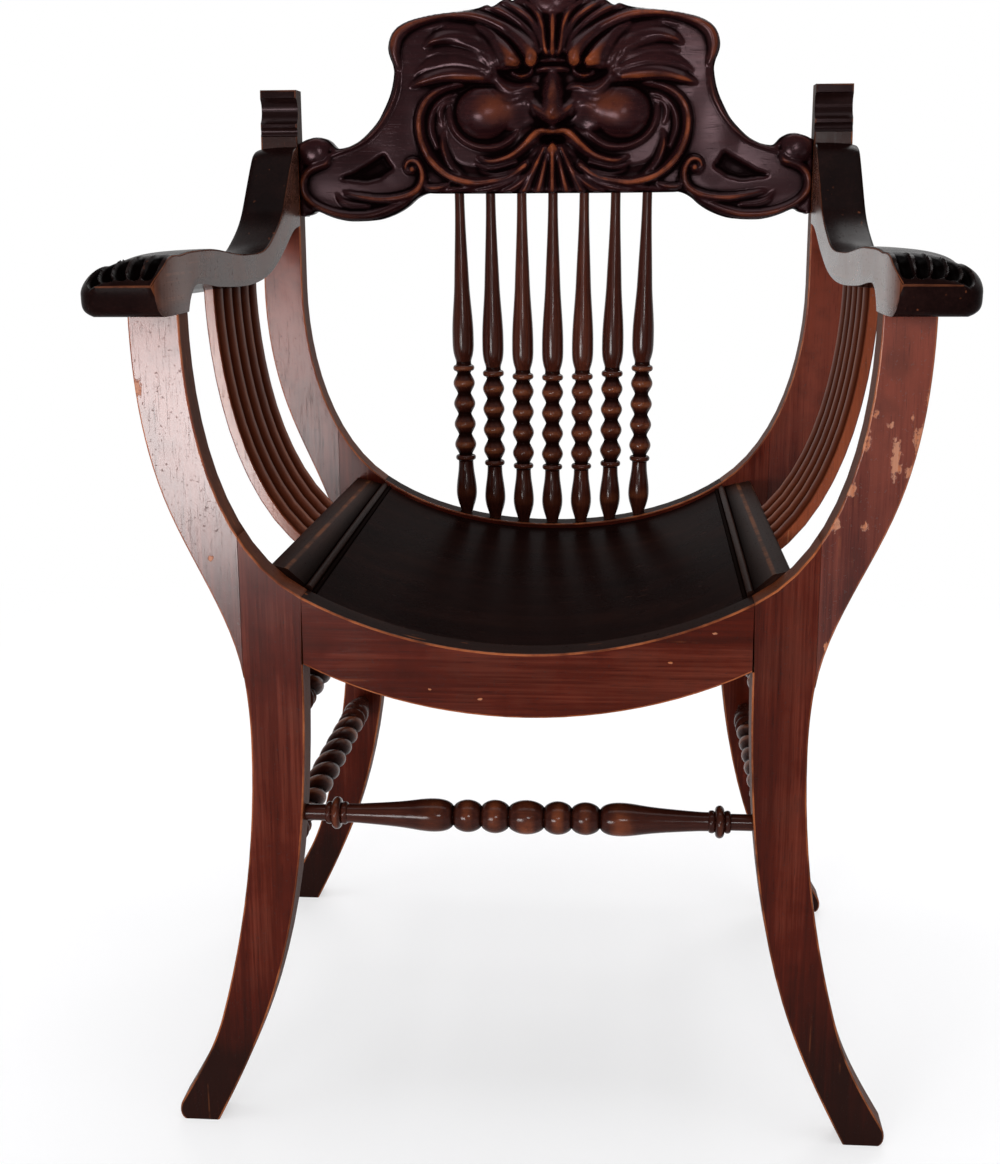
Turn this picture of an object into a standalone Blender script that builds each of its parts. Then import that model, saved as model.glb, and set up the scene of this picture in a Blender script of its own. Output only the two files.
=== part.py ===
"""Carved armchair, built from two sawn U-frames.

Each frame has two sabre legs, two uprights edge-glued to them and a curved rail dowelled between
the legs.  Turned stretchers, seat rails, bent side slats and arms tie the front frame to the rear
one.  The rear uprights run on up as posts and hold a carved crest over seven turned spindles.

X runs across the chair, Y from front to back and Z up.  The origin is on the floor, at the middle
of the chair's width and depth.
"""

import math

import bmesh
import bpy
from mathutils import Vector
from mathutils.geometry import interpolate_bezier

# Driving dimensions, in metres and degrees.
CLEAR = 0.0003  # gap at every glue line and round every tenon

BOARD = 0.026  # thickness of the boards that the frames are sawn from
FRAME_DEPTH = 0.450  # front of the front frame to back of the rear frame
NOSE_REACH = 0.048  # arm past the front frame

SEAT_DIP = 0.3995  # low point of the front frame's inner edge
REAR_LIFT = 0.015  # low point of the rear frame's inner edge above that
ARM_RISE = 0.2505  # seat dip to the top of the front uprights
POST_RISE = 0.185  # top of the front uprights to the top of the rear posts
FRONT_HALF = 0.250  # inner half width at the front uprights
REAR_HALF = 0.246  # inner half width at the rear posts
POST_W = 0.038  # width of an upright under the arm
POST_TAPER = 0.003  # lost from a rear post's width at its top
RAIL_DEEP = 0.050  # depth of the curved rails
FRONT_HEADING = 28  # slope of the front inner edge at the rail joint
REAR_HEADING = 34  # slope of the rear inner edge there
FRONT_CURVE = 0.0415  # rise of the front inner edge from its dip to the joint
REAR_CURVE = 0.0435  # rise of the rear inner edge there
RAIL_CURVE = 0.039  # rise of a rail's lower edge to the joint

JOINT_X = 0.168  # rail to leg joint, from the middle
LEG_W = 0.043  # width of a leg at its waist
GLUE_W = 0.0465  # width of the leg board where the upright is glued on
GLUE_DROP = 0.0115  # outer end of that glue line under the rail joint
WAIST_Z = 0.325
CALF_X, CALF_Z = 0.1995, 0.121  # inner edge of the leg's sweep
SHIN_X, SHIN_Z = 0.2445, 0.092  # outer edge of the leg's sweep
FOOT_IN = 0.251  # inner edge of the foot, from the middle
FOOT_W = 0.029
TOE_X, TOE_Z = 0.282, 0.014  # roundest point of the toe

COVE_R, COVE_SET = 0.014, 0.0195  # large hollow under a post's cap
BEAD_COVE_R, BEAD_COVE_SET = 0.005, 0.039  # small hollow under its bead

DOWEL_R = 0.004
DOWEL_REACH = 0.013  # length of a dowel on each side of its joint

STRETCHER_Z = 0.265  # front and rear stretchers
LOWER_Z, UPPER_Z = 0.222, 0.335  # side stretchers
TENON_R = 0.0064
TENON = 0.014
STRETCHER_R = 0.0128  # fullest turning
BEAD_W = 0.0225  # width of a stretcher's beads
SIDE_TENON_R = 0.007
TWIST_R = 0.0125
TWIST_DEEP = 0.0045  # hollow between the two strands
TWIST_PITCH = 0.066  # one full turn
VASE_L = 0.062  # plain turned length at each end of a side stretcher

SEAT_T = 0.010
SEAT_SET, REAR_SET = 0.0015, 0.0045  # seat under the front and rear inner edges
LEDGE = 0.010  # seat's bearing on a side rail
LEDGER_W, LEDGER_H, LEDGER_HALF = 0.020, 0.018, 0.140
RAIL_IN = 0.162  # inner face of a seat side rail, from the middle
RAIL_OUT = 0.197
RIDGE_X, RIDGE_RISE = 0.184, 0.058  # its top arris, above the seat dip
SIDE_RAIL_H = 0.022  # side rail under the seat's edge
BEAD_R = 0.003

SLAT_T, SLAT_W = 0.011, 0.150
SLAT_REEDS = 5
REED_DEEP = 0.0025
SLAT_FOOT_X = 0.180  # foot of the slat on the front inner edge
SLAT_TUCK, SLAT_FLARE = 0.002, 0.010  # slat outside that edge at its foot and its head
SLAT_EMBED = 0.022  # slat above the top of the front uprights

ARM_W_REAR, ARM_W_NOSE = 0.040, 0.061
NOSE_DOME = 0.020  # fall of the nose's top to its outer edge
ARM_EASE = 0.004  # rounding of the other top edges
ARM_DROOP = 0.006  # outer underside below the inner one

SPINDLES = 7
SPINDLE_FOOT_STEP, SPINDLE_HEAD_STEP = 0.0288, 0.0303
SPINDLE_R = 0.0106  # balls and rings
SPINDLE_NECK_R = 0.0079
SPINDLE_FOOT_R, SPINDLE_HEAD_R = 0.0056, 0.0047
SPINDLE_TENON = 0.011

CREST_T = 0.022
CREST_DROP = 0.0975  # crest's lower edge under the post tops
CREST_H = 0.184  # crest's lower edge to the top of its palmette
RELIEF = 0.016  # carving proud of the crest board
BOSS_SET, SCROLL_SET = 0.0012, 0.0015  # middles of its masses behind the board's face

# Places that follow from them.
DEPTH = NOSE_REACH + FRAME_DEPTH
NOSE_Y = -DEPTH / 2
FRONT_Y = NOSE_Y + NOSE_REACH
BACK_Y = DEPTH / 2
FRONT_MID, REAR_MID = FRONT_Y + BOARD / 2, BACK_Y - BOARD / 2
BAY_FRONT, BAY_BACK = FRONT_Y + BOARD, BACK_Y - BOARD
ARM_Z = SEAT_DIP + ARM_RISE
POST_TOP = ARM_Z + POST_RISE
REAR_DIP = SEAT_DIP + REAR_LIFT
GLUE_X = JOINT_X + GLUE_W
CREST_Z = POST_TOP - CREST_DROP
CREST_END = REAR_HALF - CLEAR

MAHOGANY = (0.115, 0.034, 0.020)
DARK_MAHOGANY = (0.040, 0.014, 0.010)
SEAT_BROWN = (0.016, 0.010, 0.008)

for leftover in list(bpy.data.objects):
    bpy.data.objects.remove(leftover)
chair = bpy.data.collections.new("carved_armchair")
cutters = bpy.data.collections.new("cutters")
carving = bpy.data.collections.new("crest_carving")
for group in (chair, cutters, carving):
    bpy.context.scene.collection.children.link(group)


def finish(piece, colour, roughness):
    """Give a piece its own varnished wood."""
    wood = bpy.data.materials.new(piece.name + "_wood")
    wood.use_nodes = True
    shader = wood.node_tree.nodes["Principled BSDF"]
    shader.inputs["Base Color"].default_value = (*colour, 1)
    shader.inputs["Roughness"].default_value = roughness
    shader.inputs["Metallic"].default_value = 0
    piece.data.materials.clear()
    piece.data.materials.append(wood)


def bend(knots, steps=6):
    """Points along smooth curves through knots (a, b, heading in degrees)."""
    points = []
    for (a, b, heading), (c, d, next_heading) in zip(knots, knots[1:]):
        start, end = Vector((a, b, 0)), Vector((c, d, 0))
        reach = (end - start).length / 3
        angle, next_angle = math.radians(heading), math.radians(next_heading)
        away = start + reach * Vector((math.cos(angle), math.sin(angle), 0))
        into = end - reach * Vector((math.cos(next_angle), math.sin(next_angle), 0))
        on_curve = interpolate_bezier(start, away, into, end, steps + 1)[1:-1]
        points += [(a, b)] + [(point.x, point.y) for point in on_curve]
    return points + [tuple(knots[-1][:2])]


def crossing(run, axis, value):
    """The other coordinate of a run of points where it first reaches a value on one axis."""
    for near, far in zip(run, run[1:]):
        if min(near[axis], far[axis]) <= value <= max(near[axis], far[axis]):
            share = (value - near[axis]) / (far[axis] - near[axis])
            return near[1 - axis] + share * (far[1 - axis] - near[1 - axis])
    raise ValueError(f"the run never reaches {value}")


def between(run, low, high):
    """The part of a run, rising in its first coordinate, from one value to another."""
    inside = [point for point in run if low < point[0] < high]
    return [(low, crossing(run, 0, low)), *inside, (high, crossing(run, 0, high))]


def both_halves(run):
    """A run that starts on the middle line, with its mirror image before it."""
    return [(-x, z) for x, z in reversed(run[1:])] + list(run)


def place(name, mesh, group=chair):
    piece = bpy.data.objects.new(name, mesh)
    group.objects.link(piece)
    return piece


def as_mesh(shape, group=chair):
    """Turn a curve object into a welded mesh object in the same place."""
    bpy.context.view_layer.update()
    evaluated = shape.evaluated_get(bpy.context.evaluated_depsgraph_get())
    mesh = bpy.data.meshes.new_from_object(evaluated)
    name, matrix = shape.name, shape.matrix_world.copy()
    bpy.data.objects.remove(shape)
    solid = bmesh.new()
    solid.from_mesh(mesh)
    bmesh.ops.remove_doubles(solid, verts=solid.verts, dist=1e-6)
    bmesh.ops.recalc_face_normals(solid, faces=solid.faces)
    solid.to_mesh(mesh)
    solid.free()
    piece = place(name, mesh, group)
    piece.matrix_world = matrix
    return piece


def board(name, outline, y, thickness):
    """A board standing across the chair, sawn to an outline of (x, z) points."""
    curve = bpy.data.curves.new(name, "CURVE")
    curve.dimensions = "2D"
    curve.fill_mode = "BOTH"
    curve.extrude = thickness / 2
    spline = curve.splines.new("POLY")
    spline.points.add(len(outline) - 1)
    for point, (x, z) in zip(spline.points, outline):
        point.co = (x, z, 0, 1)
    spline.use_cyclic_u = True
    shape = place(name, curve)
    shape.location = (0, y, 0)
    shape.rotation_euler = (math.pi / 2, 0, 0)
    return as_mesh(shape)


def loft(name, rings, group=chair):
    """A closed solid through rings with the same number of points."""
    solid = bmesh.new()
    rows = [[solid.verts.new(point) for point in ring] for ring in rings]
    for row, following in zip(rows, rows[1:]):
        for i, corner in enumerate(row):
            j = (i + 1) % len(row)
            solid.faces.new((corner, row[j], following[j], following[i]))
    solid.faces.new(rows[0])
    solid.faces.new(rows[-1])
    bmesh.ops.recalc_face_normals(solid, faces=solid.faces)
    mesh = bpy.data.meshes.new(name)
    solid.to_mesh(mesh)
    solid.free()
    return place(name, mesh, group)


def turned(name, profile, sides):
    """A lathe turning on Z, from (radius, height) pairs listed from the top down."""
    line = bmesh.new()
    points = [line.verts.new((radius, 0, height)) for radius, height in profile]
    for pair in zip(points, points[1:]):
        line.edges.new(pair)
    mesh = bpy.data.meshes.new(name)
    line.to_mesh(mesh)
    line.free()
    piece = place(name, mesh)
    lathe = piece.modifiers.new("Lathe", "SCREW")
    lathe.steps = lathe.render_steps = sides
    lathe.use_merge_vertices = True
    lathe.merge_threshold = 1e-5
    return piece


def set_aside(cutter, group=cutters):
    """Keep a cutter or a guide out of the finished chair."""
    for home in list(cutter.users_collection):
        home.objects.unlink(cutter)
    group.objects.link(cutter)
    cutter.hide_render = True
    cutter.display_type = "WIRE"


def cut(piece, cutter):
    hollow = piece.modifiers.new("Cut", "BOOLEAN")
    hollow.operation = "DIFFERENCE"
    hollow.solver = "EXACT"
    hollow.object = cutter


def rod(start, end, radius, sides=8):
    """A round rod from one point to another."""
    start, end = Vector(start), Vector(end)
    run = end - start
    bpy.ops.mesh.primitive_cylinder_add(vertices=sides, radius=radius, depth=run.length)
    piece = bpy.context.object
    piece.location = (start + end) / 2
    piece.rotation_euler = run.to_track_quat("Z", "Y").to_euler()
    return piece


def bore(piece, start, end, radius, sides=8):
    """Drill a hole that clears a rod of this radius, past both ends of a run."""
    start, end = Vector(start), Vector(end)
    past = 2 * CLEAR * (end - start).normalized()
    drill = rod(start - past, end + past, (radius + CLEAR) / math.cos(math.pi / sides), sides)
    drill.name = piece.name + "_bore"
    set_aside(drill)
    cut(piece, drill)


def dowel(name, joint, along, *pieces):
    """A dowel across a joint, with its hole in each piece."""
    joint, reach = Vector(joint), DOWEL_REACH * Vector(along)
    for piece in pieces:
        bore(piece, joint - reach, joint + reach, DOWEL_R)
    pin = rod(joint - reach, joint + reach, DOWEL_R)
    pin.name = name
    for home in list(pin.users_collection):
        home.objects.unlink(pin)
    chair.objects.link(pin)
    finish(pin, MAHOGANY, 0.6)
    return pin


def side_name(side):
    return "right" if side > 0 else "left"


# Inner edges of the two frames, from the middle of the seat up to the arm.
front_edge = bend([
    (0, SEAT_DIP, 0),
    (JOINT_X, SEAT_DIP + FRONT_CURVE, FRONT_HEADING),
    (FRONT_HALF, ARM_Z, 90),
], 7)
rear_edge = bend([
    (0, REAR_DIP, 0),
    (JOINT_X, REAR_DIP + REAR_CURVE, REAR_HEADING),
    (REAR_HALF, ARM_Z, 90),
], 7)

# Sabre leg: inner and outer edges, from the rail joint down to the foot.
joint_low = {"front": SEAT_DIP - RAIL_DEEP + RAIL_CURVE, "rear": REAR_DIP - RAIL_DEEP + RAIL_CURVE}
leg_inner = {
    frame: bend([
        (FOOT_IN, 0, 117),
        (CALF_X, CALF_Z, 107),
        (JOINT_X + CLEAR / 2, low, 90),
    ], 5)
    for frame, low in joint_low.items()
}
leg_outer = {
    frame: bend([
        (GLUE_X - CLEAR / 2, low - GLUE_DROP, 262),
        (JOINT_X + LEG_W, WAIST_Z, 270),
        (SHIN_X, SHIN_Z, 286),
        (TOE_X, TOE_Z, 300),
    ], 5) + bend([(TOE_X, TOE_Z, 292), (FOOT_IN + FOOT_W, 0, 215)], 3)[1:]
    for frame, low in joint_low.items()
}


def leg(frame, edge, side, y):
    """A leg board, up to the inner edge of its frame and out to the upright's glue line."""
    head = between(edge, JOINT_X + CLEAR / 2, GLUE_X - CLEAR / 2)
    outline = leg_inner[frame] + head + leg_outer[frame]
    piece = board(f"{frame}_leg_{side_name(side)}", [(side * x, z) for x, z in outline], y, BOARD)
    finish(piece, MAHOGANY, 0.35)
    return piece


def rail(frame, edge, dip, y):
    """The curved rail dowelled between a frame's legs."""
    top = [point for point in between(edge, 0, JOINT_X - CLEAR / 2)]
    low = bend([(0, dip - RAIL_DEEP, 0), (JOINT_X, joint_low[frame], FRONT_HEADING - 1)], 8)
    low = between(low, 0, JOINT_X - CLEAR / 2)
    outline = both_halves(top[1:]) + both_halves(low[1:])[::-1]
    piece = board(f"{frame}_rail", outline, y, BOARD)
    finish(piece, MAHOGANY, 0.35)
    return piece


def upright_outline(half, edge, dip, low):
    """An upright's inner edge up to the arm, and its outer edge back down to the glue line."""
    inner = between(edge, GLUE_X + CLEAR / 2, half)
    outer = bend([
        (half + POST_W, ARM_Z, 270),
        (half + POST_W / 2, dip + 0.1165, 251),
        (GLUE_X + CLEAR / 2, low - GLUE_DROP, 262),
    ])
    return inner, outer


pieces = {}
for side in (1, -1):
    hand = side_name(side)
    pieces["front_leg", side] = leg("front", front_edge, side, FRONT_MID)
    pieces["rear_leg", side] = leg("rear", rear_edge, side, REAR_MID)

    inner, outer = upright_outline(FRONT_HALF, front_edge, SEAT_DIP, joint_low["front"])
    outline = [(side * x, z) for x, z in inner + outer]
    upright = board("front_upright_" + hand, outline, FRONT_MID, BOARD)
    finish(upright, MAHOGANY, 0.35)
    pieces["upright", side] = upright

    inner, outer = upright_outline(REAR_HALF, rear_edge, REAR_DIP, joint_low["rear"])
    cap = [(REAR_HALF, POST_TOP), (REAR_HALF + POST_W - POST_TAPER, POST_TOP)]
    outline = [(side * x, z) for x, z in inner + cap + outer]
    post = board("rear_post_" + hand, outline, REAR_MID, BOARD)
    finish(post, MAHOGANY, 0.35)
    pieces["post", side] = post
    middle = side * (REAR_HALF + POST_W / 2)
    for radius, drop, sides in ((COVE_R, COVE_SET, 14), (BEAD_COVE_R, BEAD_COVE_SET, 10)):
        axis = Vector((middle, BAY_BACK - radius / 2, POST_TOP - drop))
        across = Vector((POST_W, 0, 0))
        cove = rod(axis - across, axis + across, radius, sides)
        cove.name = "cove_" + hand
        set_aside(cove)
        cut(post, cove)

front_rail = rail("front", front_edge, SEAT_DIP, FRONT_MID)
rear_rail = rail("rear", rear_edge, REAR_DIP, REAR_MID)
for frame, middle_rail, edge, y in (
    ("front", front_rail, front_edge, FRONT_MID),
    ("rear", rear_rail, rear_edge, REAR_MID),
):
    joint_top = crossing(edge, 0, JOINT_X)
    for side in (1, -1):
        for tier, share in (("lower", 0.27), ("upper", 0.67)):
            z = joint_low[frame] + share * (joint_top - joint_low[frame])
            dowel(
                f"{frame}_rail_dowel_{side_name(side)}_{tier}", (side * JOINT_X, y, z), (side, 0, 0),
                middle_rail, pieces[frame + "_leg", side],
            )


def mirrored_profile(half):
    """A turning that is alike at both ends, from its outer half listed from the end inwards."""
    return half + [(radius, -height) for radius, height in reversed(half)]


def cross_stretcher(name, frame, y, half):
    """Seat a turned stretcher in the inner edges of a frame's two legs."""
    piece = turned(name, mirrored_profile(half), 10)
    piece.location = (0, y, STRETCHER_Z)
    piece.rotation_euler = (0, math.pi / 2, 0)
    finish(piece, DARK_MAHOGANY, 0.3)
    end = half[0][1]
    for side in (1, -1):
        seat = (side * (end - 2 * TENON), y, STRETCHER_Z)
        bore(pieces[frame + "_leg", side], seat, (side * end, y, STRETCHER_Z), TENON_R, 10)


# Front stretcher: round tenons, collars, two vases and five beads.
shoulder = crossing(leg_inner["front"], 1, STRETCHER_Z)
beads_end = 2.5 * BEAD_W
profile = [
    (0, shoulder + TENON),
    (TENON_R, shoulder + TENON),
    (TENON_R, shoulder - 0.018),
    (0.0098, shoulder - 0.024),
    (0.0124, shoulder - 0.028),
    (0.0098, shoulder - 0.032),
    (0.0075, shoulder - 0.035),
    (0.0086, shoulder - 0.060),
    (0.0112, beads_end + 0.028),
    (STRETCHER_R, beads_end + 0.014),
    (0.0112, beads_end + 0.004),
]
for bead in (2, 1):
    for share, radius in ((0.5, 0.0088), (0.25, 0.0121), (0, STRETCHER_R), (-0.25, 0.0121)):
        profile.append((radius, (bead + share) * BEAD_W))
profile += [(0.0088, BEAD_W / 2), (0.0126, BEAD_W / 4)]
cross_stretcher("front_stretcher", "front", FRONT_MID, profile)

# Rear stretcher: a plain swelling rod.
shoulder = crossing(leg_inner["rear"], 1, STRETCHER_Z)
cross_stretcher("rear_stretcher", "rear", REAR_MID, [
    (0, shoulder + TENON),
    (TENON_R, shoulder + TENON),
    (TENON_R, shoulder - 0.002),
    (0.0092, shoulder / 2),
    (0.0102, shoulder / 6),
])


def twist_ring(x, y, z, radius, hollow, turn):
    """A section of two strands round a stretcher's axis, which runs along Y."""
    ring = []
    for i in range(8):
        angle = 2 * math.pi * i / 8
        reach = radius - hollow * (1 - math.cos(2 * angle)) / 2
        ring.append((x + reach * math.cos(angle + turn), y, z + reach * math.sin(angle + turn)))
    return ring


def side_stretcher(name, side, z):
    """A twist-turned stretcher with a plain vase at each end, tenoned into both legs of a side."""
    inner, outer = crossing(leg_inner["front"], 1, z), crossing(leg_outer["front"], 1, z)
    x = side * (inner + outer) / 2
    vase = [
        (-TENON, SIDE_TENON_R),
        (0.004, SIDE_TENON_R),
        (0.035, TWIST_R),
        (0.050, 0.0085),
        (0.056, TWIST_R),
        (VASE_L, 0.0085),
    ]
    length = BAY_BACK - BAY_FRONT
    steps = round(8 * (length - 2 * VASE_L) / TWIST_PITCH)
    stations = [(s, radius, 0) for s, radius in vase]
    for i in range(1, steps):
        s = VASE_L + (length - 2 * VASE_L) * i / steps
        stations.append((s, TWIST_R, TWIST_DEEP if 1 < i < steps - 1 else TWIST_DEEP / 2))
    stations += [(length - s, radius, 0) for s, radius in reversed(vase)]
    rings = []
    for s, radius, hollow in stations:
        twisted = min(max(s - VASE_L, 0), length - 2 * VASE_L)
        turn = side * 2 * math.pi * twisted / TWIST_PITCH
        rings.append(twist_ring(x, BAY_FRONT + s, z, radius, hollow, turn))
    piece = loft(name, rings)
    finish(piece, DARK_MAHOGANY, 0.3)
    for frame, face, depth in (("front", BAY_FRONT, -TENON), ("rear", BAY_BACK, TENON)):
        hole = ((x, face + depth, z), (x, face - depth, z))
        bore(pieces[frame + "_leg", side], *hole, SIDE_TENON_R)


for side in (1, -1):
    side_stretcher("lower_side_stretcher_" + side_name(side), side, LOWER_Z)
    side_stretcher("upper_side_stretcher_" + side_name(side), side, UPPER_Z)


def seat_level(x, share):
    """Height of the seat's top at a distance from the middle, from its front (0) to its rear (1)."""
    front = crossing(front_edge, 0, abs(x)) - SEAT_SET
    rear = crossing(rear_edge, 0, abs(x)) - REAR_SET
    return front + share * (rear - front)


# Dished seat, let in between the two frames and the side rails.
seat_half = RAIL_IN - CLEAR
columns = [seat_half * (i / 7 - 1) for i in range(15)]
bay = BAY_BACK - BAY_FRONT
seat_rows = [(BAY_FRONT + CLEAR + i / 4 * (bay - 2 * CLEAR), i / 4) for i in range(5)]
seat_rings = []
for y, share in seat_rows:
    top = [(x, y, seat_level(x, share)) for x in columns]
    under = [(x, y, z - SEAT_T) for x, y, z in reversed(top)]
    seat_rings.append(top + under)
seat = loft("seat_panel", seat_rings)
finish(seat, SEAT_BROWN, 0.3)

# Ledger strips under the seat, on the inner faces of the curved rails.
for name, y, share in (
    ("seat_ledger_front", BAY_FRONT + CLEAR + LEDGER_W / 2, 0),
    ("seat_ledger_rear", BAY_BACK - CLEAR - LEDGER_W / 2, 1 - (LEDGER_W + 2 * CLEAR) / bay),
):
    spread = [LEDGER_HALF * (i / 6 - 1) for i in range(13)]
    top = [(x, seat_level(x, share) - SEAT_T - CLEAR) for x in spread]
    outline = top + [(x, z - LEDGER_H) for x, z in reversed(top)]
    ledger = board(name, outline, y, LEDGER_W)
    finish(ledger, DARK_MAHOGANY, 0.6)


def side_rail_ring(side, y, share):
    """A seat side rail's section: ledge for the seat, beaded slope, arris and the slat's shelf."""
    ledge_in = RAIL_IN - LEDGE
    under = seat_level(ledge_in, share) - SEAT_T - CLEAR
    edge = seat_level(RAIL_IN, share)
    ridge = SEAT_DIP + RIDGE_RISE
    low = seat_level(ledge_in, 0) - SEAT_T - SIDE_RAIL_H
    start, end = Vector((RAIL_IN, edge + SEAT_SET)), Vector((RIDGE_X, ridge))
    slope = (end - start).normalized()
    lift = Vector((-slope.y, slope.x))
    bead = start + 2 * BEAD_R * slope
    section = [
        (ledge_in, low),
        (ledge_in, under),
        (RAIL_IN, edge - SEAT_T - CLEAR),
        tuple(start),
        tuple(bead - 1.3 * BEAD_R * slope),
        tuple(bead - BEAD_R * slope - 0.4 * BEAD_R * lift),
        tuple(bead + 0.5 * BEAD_R * lift),
        tuple(bead + BEAD_R * slope - 0.4 * BEAD_R * lift),
        tuple(bead + 1.3 * BEAD_R * slope),
        tuple(end),
        (RAIL_OUT, ridge + SLAT_TUCK),
        (RAIL_OUT, low),
    ]
    return [(side * x, y, z) for x, z in section]


def slat_rings(side, thickness, width, reeds, spare):
    """A bent slat that follows the front frame's inner edge, with reeds along its inner face."""
    path = between(front_edge, SLAT_FOOT_X, FRONT_HALF)
    total = path[-1][1] - path[0][1]
    middle = (BAY_FRONT + BAY_BACK) / 2
    low_face, high_face = -SLAT_T / 2 - (thickness - SLAT_T) / 2, SLAT_T / 2 + (thickness - SLAT_T) / 2
    section = [(high_face, width / 2), (high_face, -width / 2)]
    if reeds:
        for i in range(4 * reeds + 1):
            dip = abs(math.sin(math.pi * i / 4))
            section.append((low_face + REED_DEEP * (1 - dip), width * (i / (4 * reeds) - 0.5)))
    else:
        section += [(low_face, -width / 2), (low_face, width / 2)]
    rings = []
    heads = [Vector(after) - Vector(before) for before, after in zip(path, path[1:])]
    heads.append(Vector((0, 1)))
    centres = []
    for (x, z), head in zip(path, heads):
        along = head.normalized()
        out = Vector((along.y, -along.x))
        share = (z - path[0][1]) / total
        set_out = SLAT_TUCK + share * (SLAT_FLARE - SLAT_TUCK) + SLAT_T / 2
        centres.append((Vector((x, z)) + set_out * out, along, out))
    foot, along, out = centres[0]
    centres[0] = (foot - spare * along, along, out)
    top, along, out = centres[-1]
    centres.append((top + Vector((0, SLAT_EMBED + spare)), along, out))
    for centre, along, out in centres:
        points = [(centre + n * out, middle + across) for n, across in section]
        rings.append([(side * flat.x, y, flat.y) for flat, y in points])
    return rings


# Arm seen from the side, in (y, z): top and underside, from the nose back to the post.
tip = ARM_Z + 0.022
arm_top = bend([
    (NOSE_Y, tip + 0.0008, 52),
    (FRONT_Y + 0.026, ARM_Z + 0.042, 4),
    (FRONT_Y + 0.090, ARM_Z + 0.044, 0),
    (FRONT_Y + 0.210, ARM_Z + 0.037, 0),
    (BAY_BACK - 0.126, ARM_Z + 0.046, 22),
    (BAY_BACK - 0.069, ARM_Z + 0.078, 45),
    (BAY_BACK - 0.024, ARM_Z + 0.123, 42),
    (BAY_BACK - CLEAR, ARM_Z + 0.132, 8),
], 8)
arm_under = bend([
    (NOSE_Y, tip - 0.0008, -22),
    (FRONT_Y - 0.002, ARM_Z + CLEAR, -25),
]) + bend([
    (FRONT_Y, ARM_Z + CLEAR, 0),
    (BAY_FRONT + 0.001, ARM_Z + CLEAR, 0),
], 1) + bend([
    (BAY_FRONT + 0.002, ARM_Z + 0.002, 62),
    (FRONT_Y + 0.055, ARM_Z + 0.019, 0),
    (FRONT_Y + 0.120, ARM_Z + 0.014, -3),
    (FRONT_Y + 0.205, ARM_Z + 0.011, 0),
    (BAY_BACK - 0.139, ARM_Z + 0.017, 10),
    (BAY_BACK - 0.078, ARM_Z + 0.035, 20),
    (BAY_BACK - 0.030, ARM_Z + 0.054, 16),
    (BAY_BACK - CLEAR, ARM_Z + 0.058, 5),
])
# Arm seen from above, in (y, x): inner and outer edges.
arm_inner = bend([
    (NOSE_Y, FRONT_HALF + 0.017, -60),
    (FRONT_Y - 0.020, FRONT_HALF, -8),
    (FRONT_Y + 0.040, FRONT_HALF - 0.0005, 0),
    (BAY_BACK - CLEAR, REAR_HALF, 0),
])
arm_outer = bend([
    (NOSE_Y, FRONT_HALF + ARM_W_NOSE - 0.026, 72),
    (FRONT_Y - 0.016, FRONT_HALF + ARM_W_NOSE, 6),
    (FRONT_Y + 0.020, FRONT_HALF + ARM_W_NOSE - 0.001, -5),
    (FRONT_Y + 0.260, REAR_HALF + ARM_W_REAR + 0.002, -3),
    (BAY_BACK - CLEAR, REAR_HALF + ARM_W_REAR, 0),
])


def arm_ring(side, y):
    """An arm's upright section: flat sides, domed top and an underside that droops outwards."""
    top, under = crossing(arm_top, 0, y), crossing(arm_under, 0, y)
    inner, outer = crossing(arm_inner, 0, y), crossing(arm_outer, 0, y)
    width, height = outer - inner, top - under
    bay_share = min(max((y - BAY_FRONT) / (BAY_BACK - BAY_FRONT), 0), 1)
    dome = min(ARM_EASE + (NOSE_DOME - ARM_EASE) * (1 - bay_share) ** 2, 0.6 * height)
    ease = min(ARM_EASE, 0.3 * height)
    droop = ARM_DROOP * min(max(4 * bay_share * (1.6 - 2 * bay_share), 0), 1)
    tuck = 0.15 * width * (1 - bay_share) ** 4
    section = [
        (inner, under),
        (inner, top - ease),
        (inner + 0.4 * ease, top - 0.25 * ease),
        (inner + 0.30 * width, top),
        (inner + 0.55 * width, top - 0.04 * dome),
        (inner + 0.75 * width, top - 0.18 * dome),
        (inner + 0.92 * width, top - 0.53 * dome),
        (outer, top - dome),
        (outer - 0.2 * tuck, top - dome - 0.2 * (height - dome)),
        (outer - tuck, under - droop),
        (inner + 0.45 * width, under - 0.6 * droop),
    ]
    return [(side * x, y, z) for x, z in section]


nose_stations = [NOSE_Y + NOSE_REACH * share for share in (0, 0.05, 0.14, 0.30, 0.52, 0.76, 0.97)]
leg_stations = [FRONT_Y + 0.0005, BAY_FRONT + 0.001, BAY_FRONT + 0.003, BAY_FRONT + 0.010]
bay_stations = [BAY_FRONT + share * bay for share in (
    0.06, 0.12, 0.21, 0.33, 0.46, 0.57, 0.66, 0.73, 0.79, 0.84, 0.89, 0.93, 0.965,
)]
arm_stations = nose_stations + leg_stations + bay_stations + [BAY_BACK - CLEAR]

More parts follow.
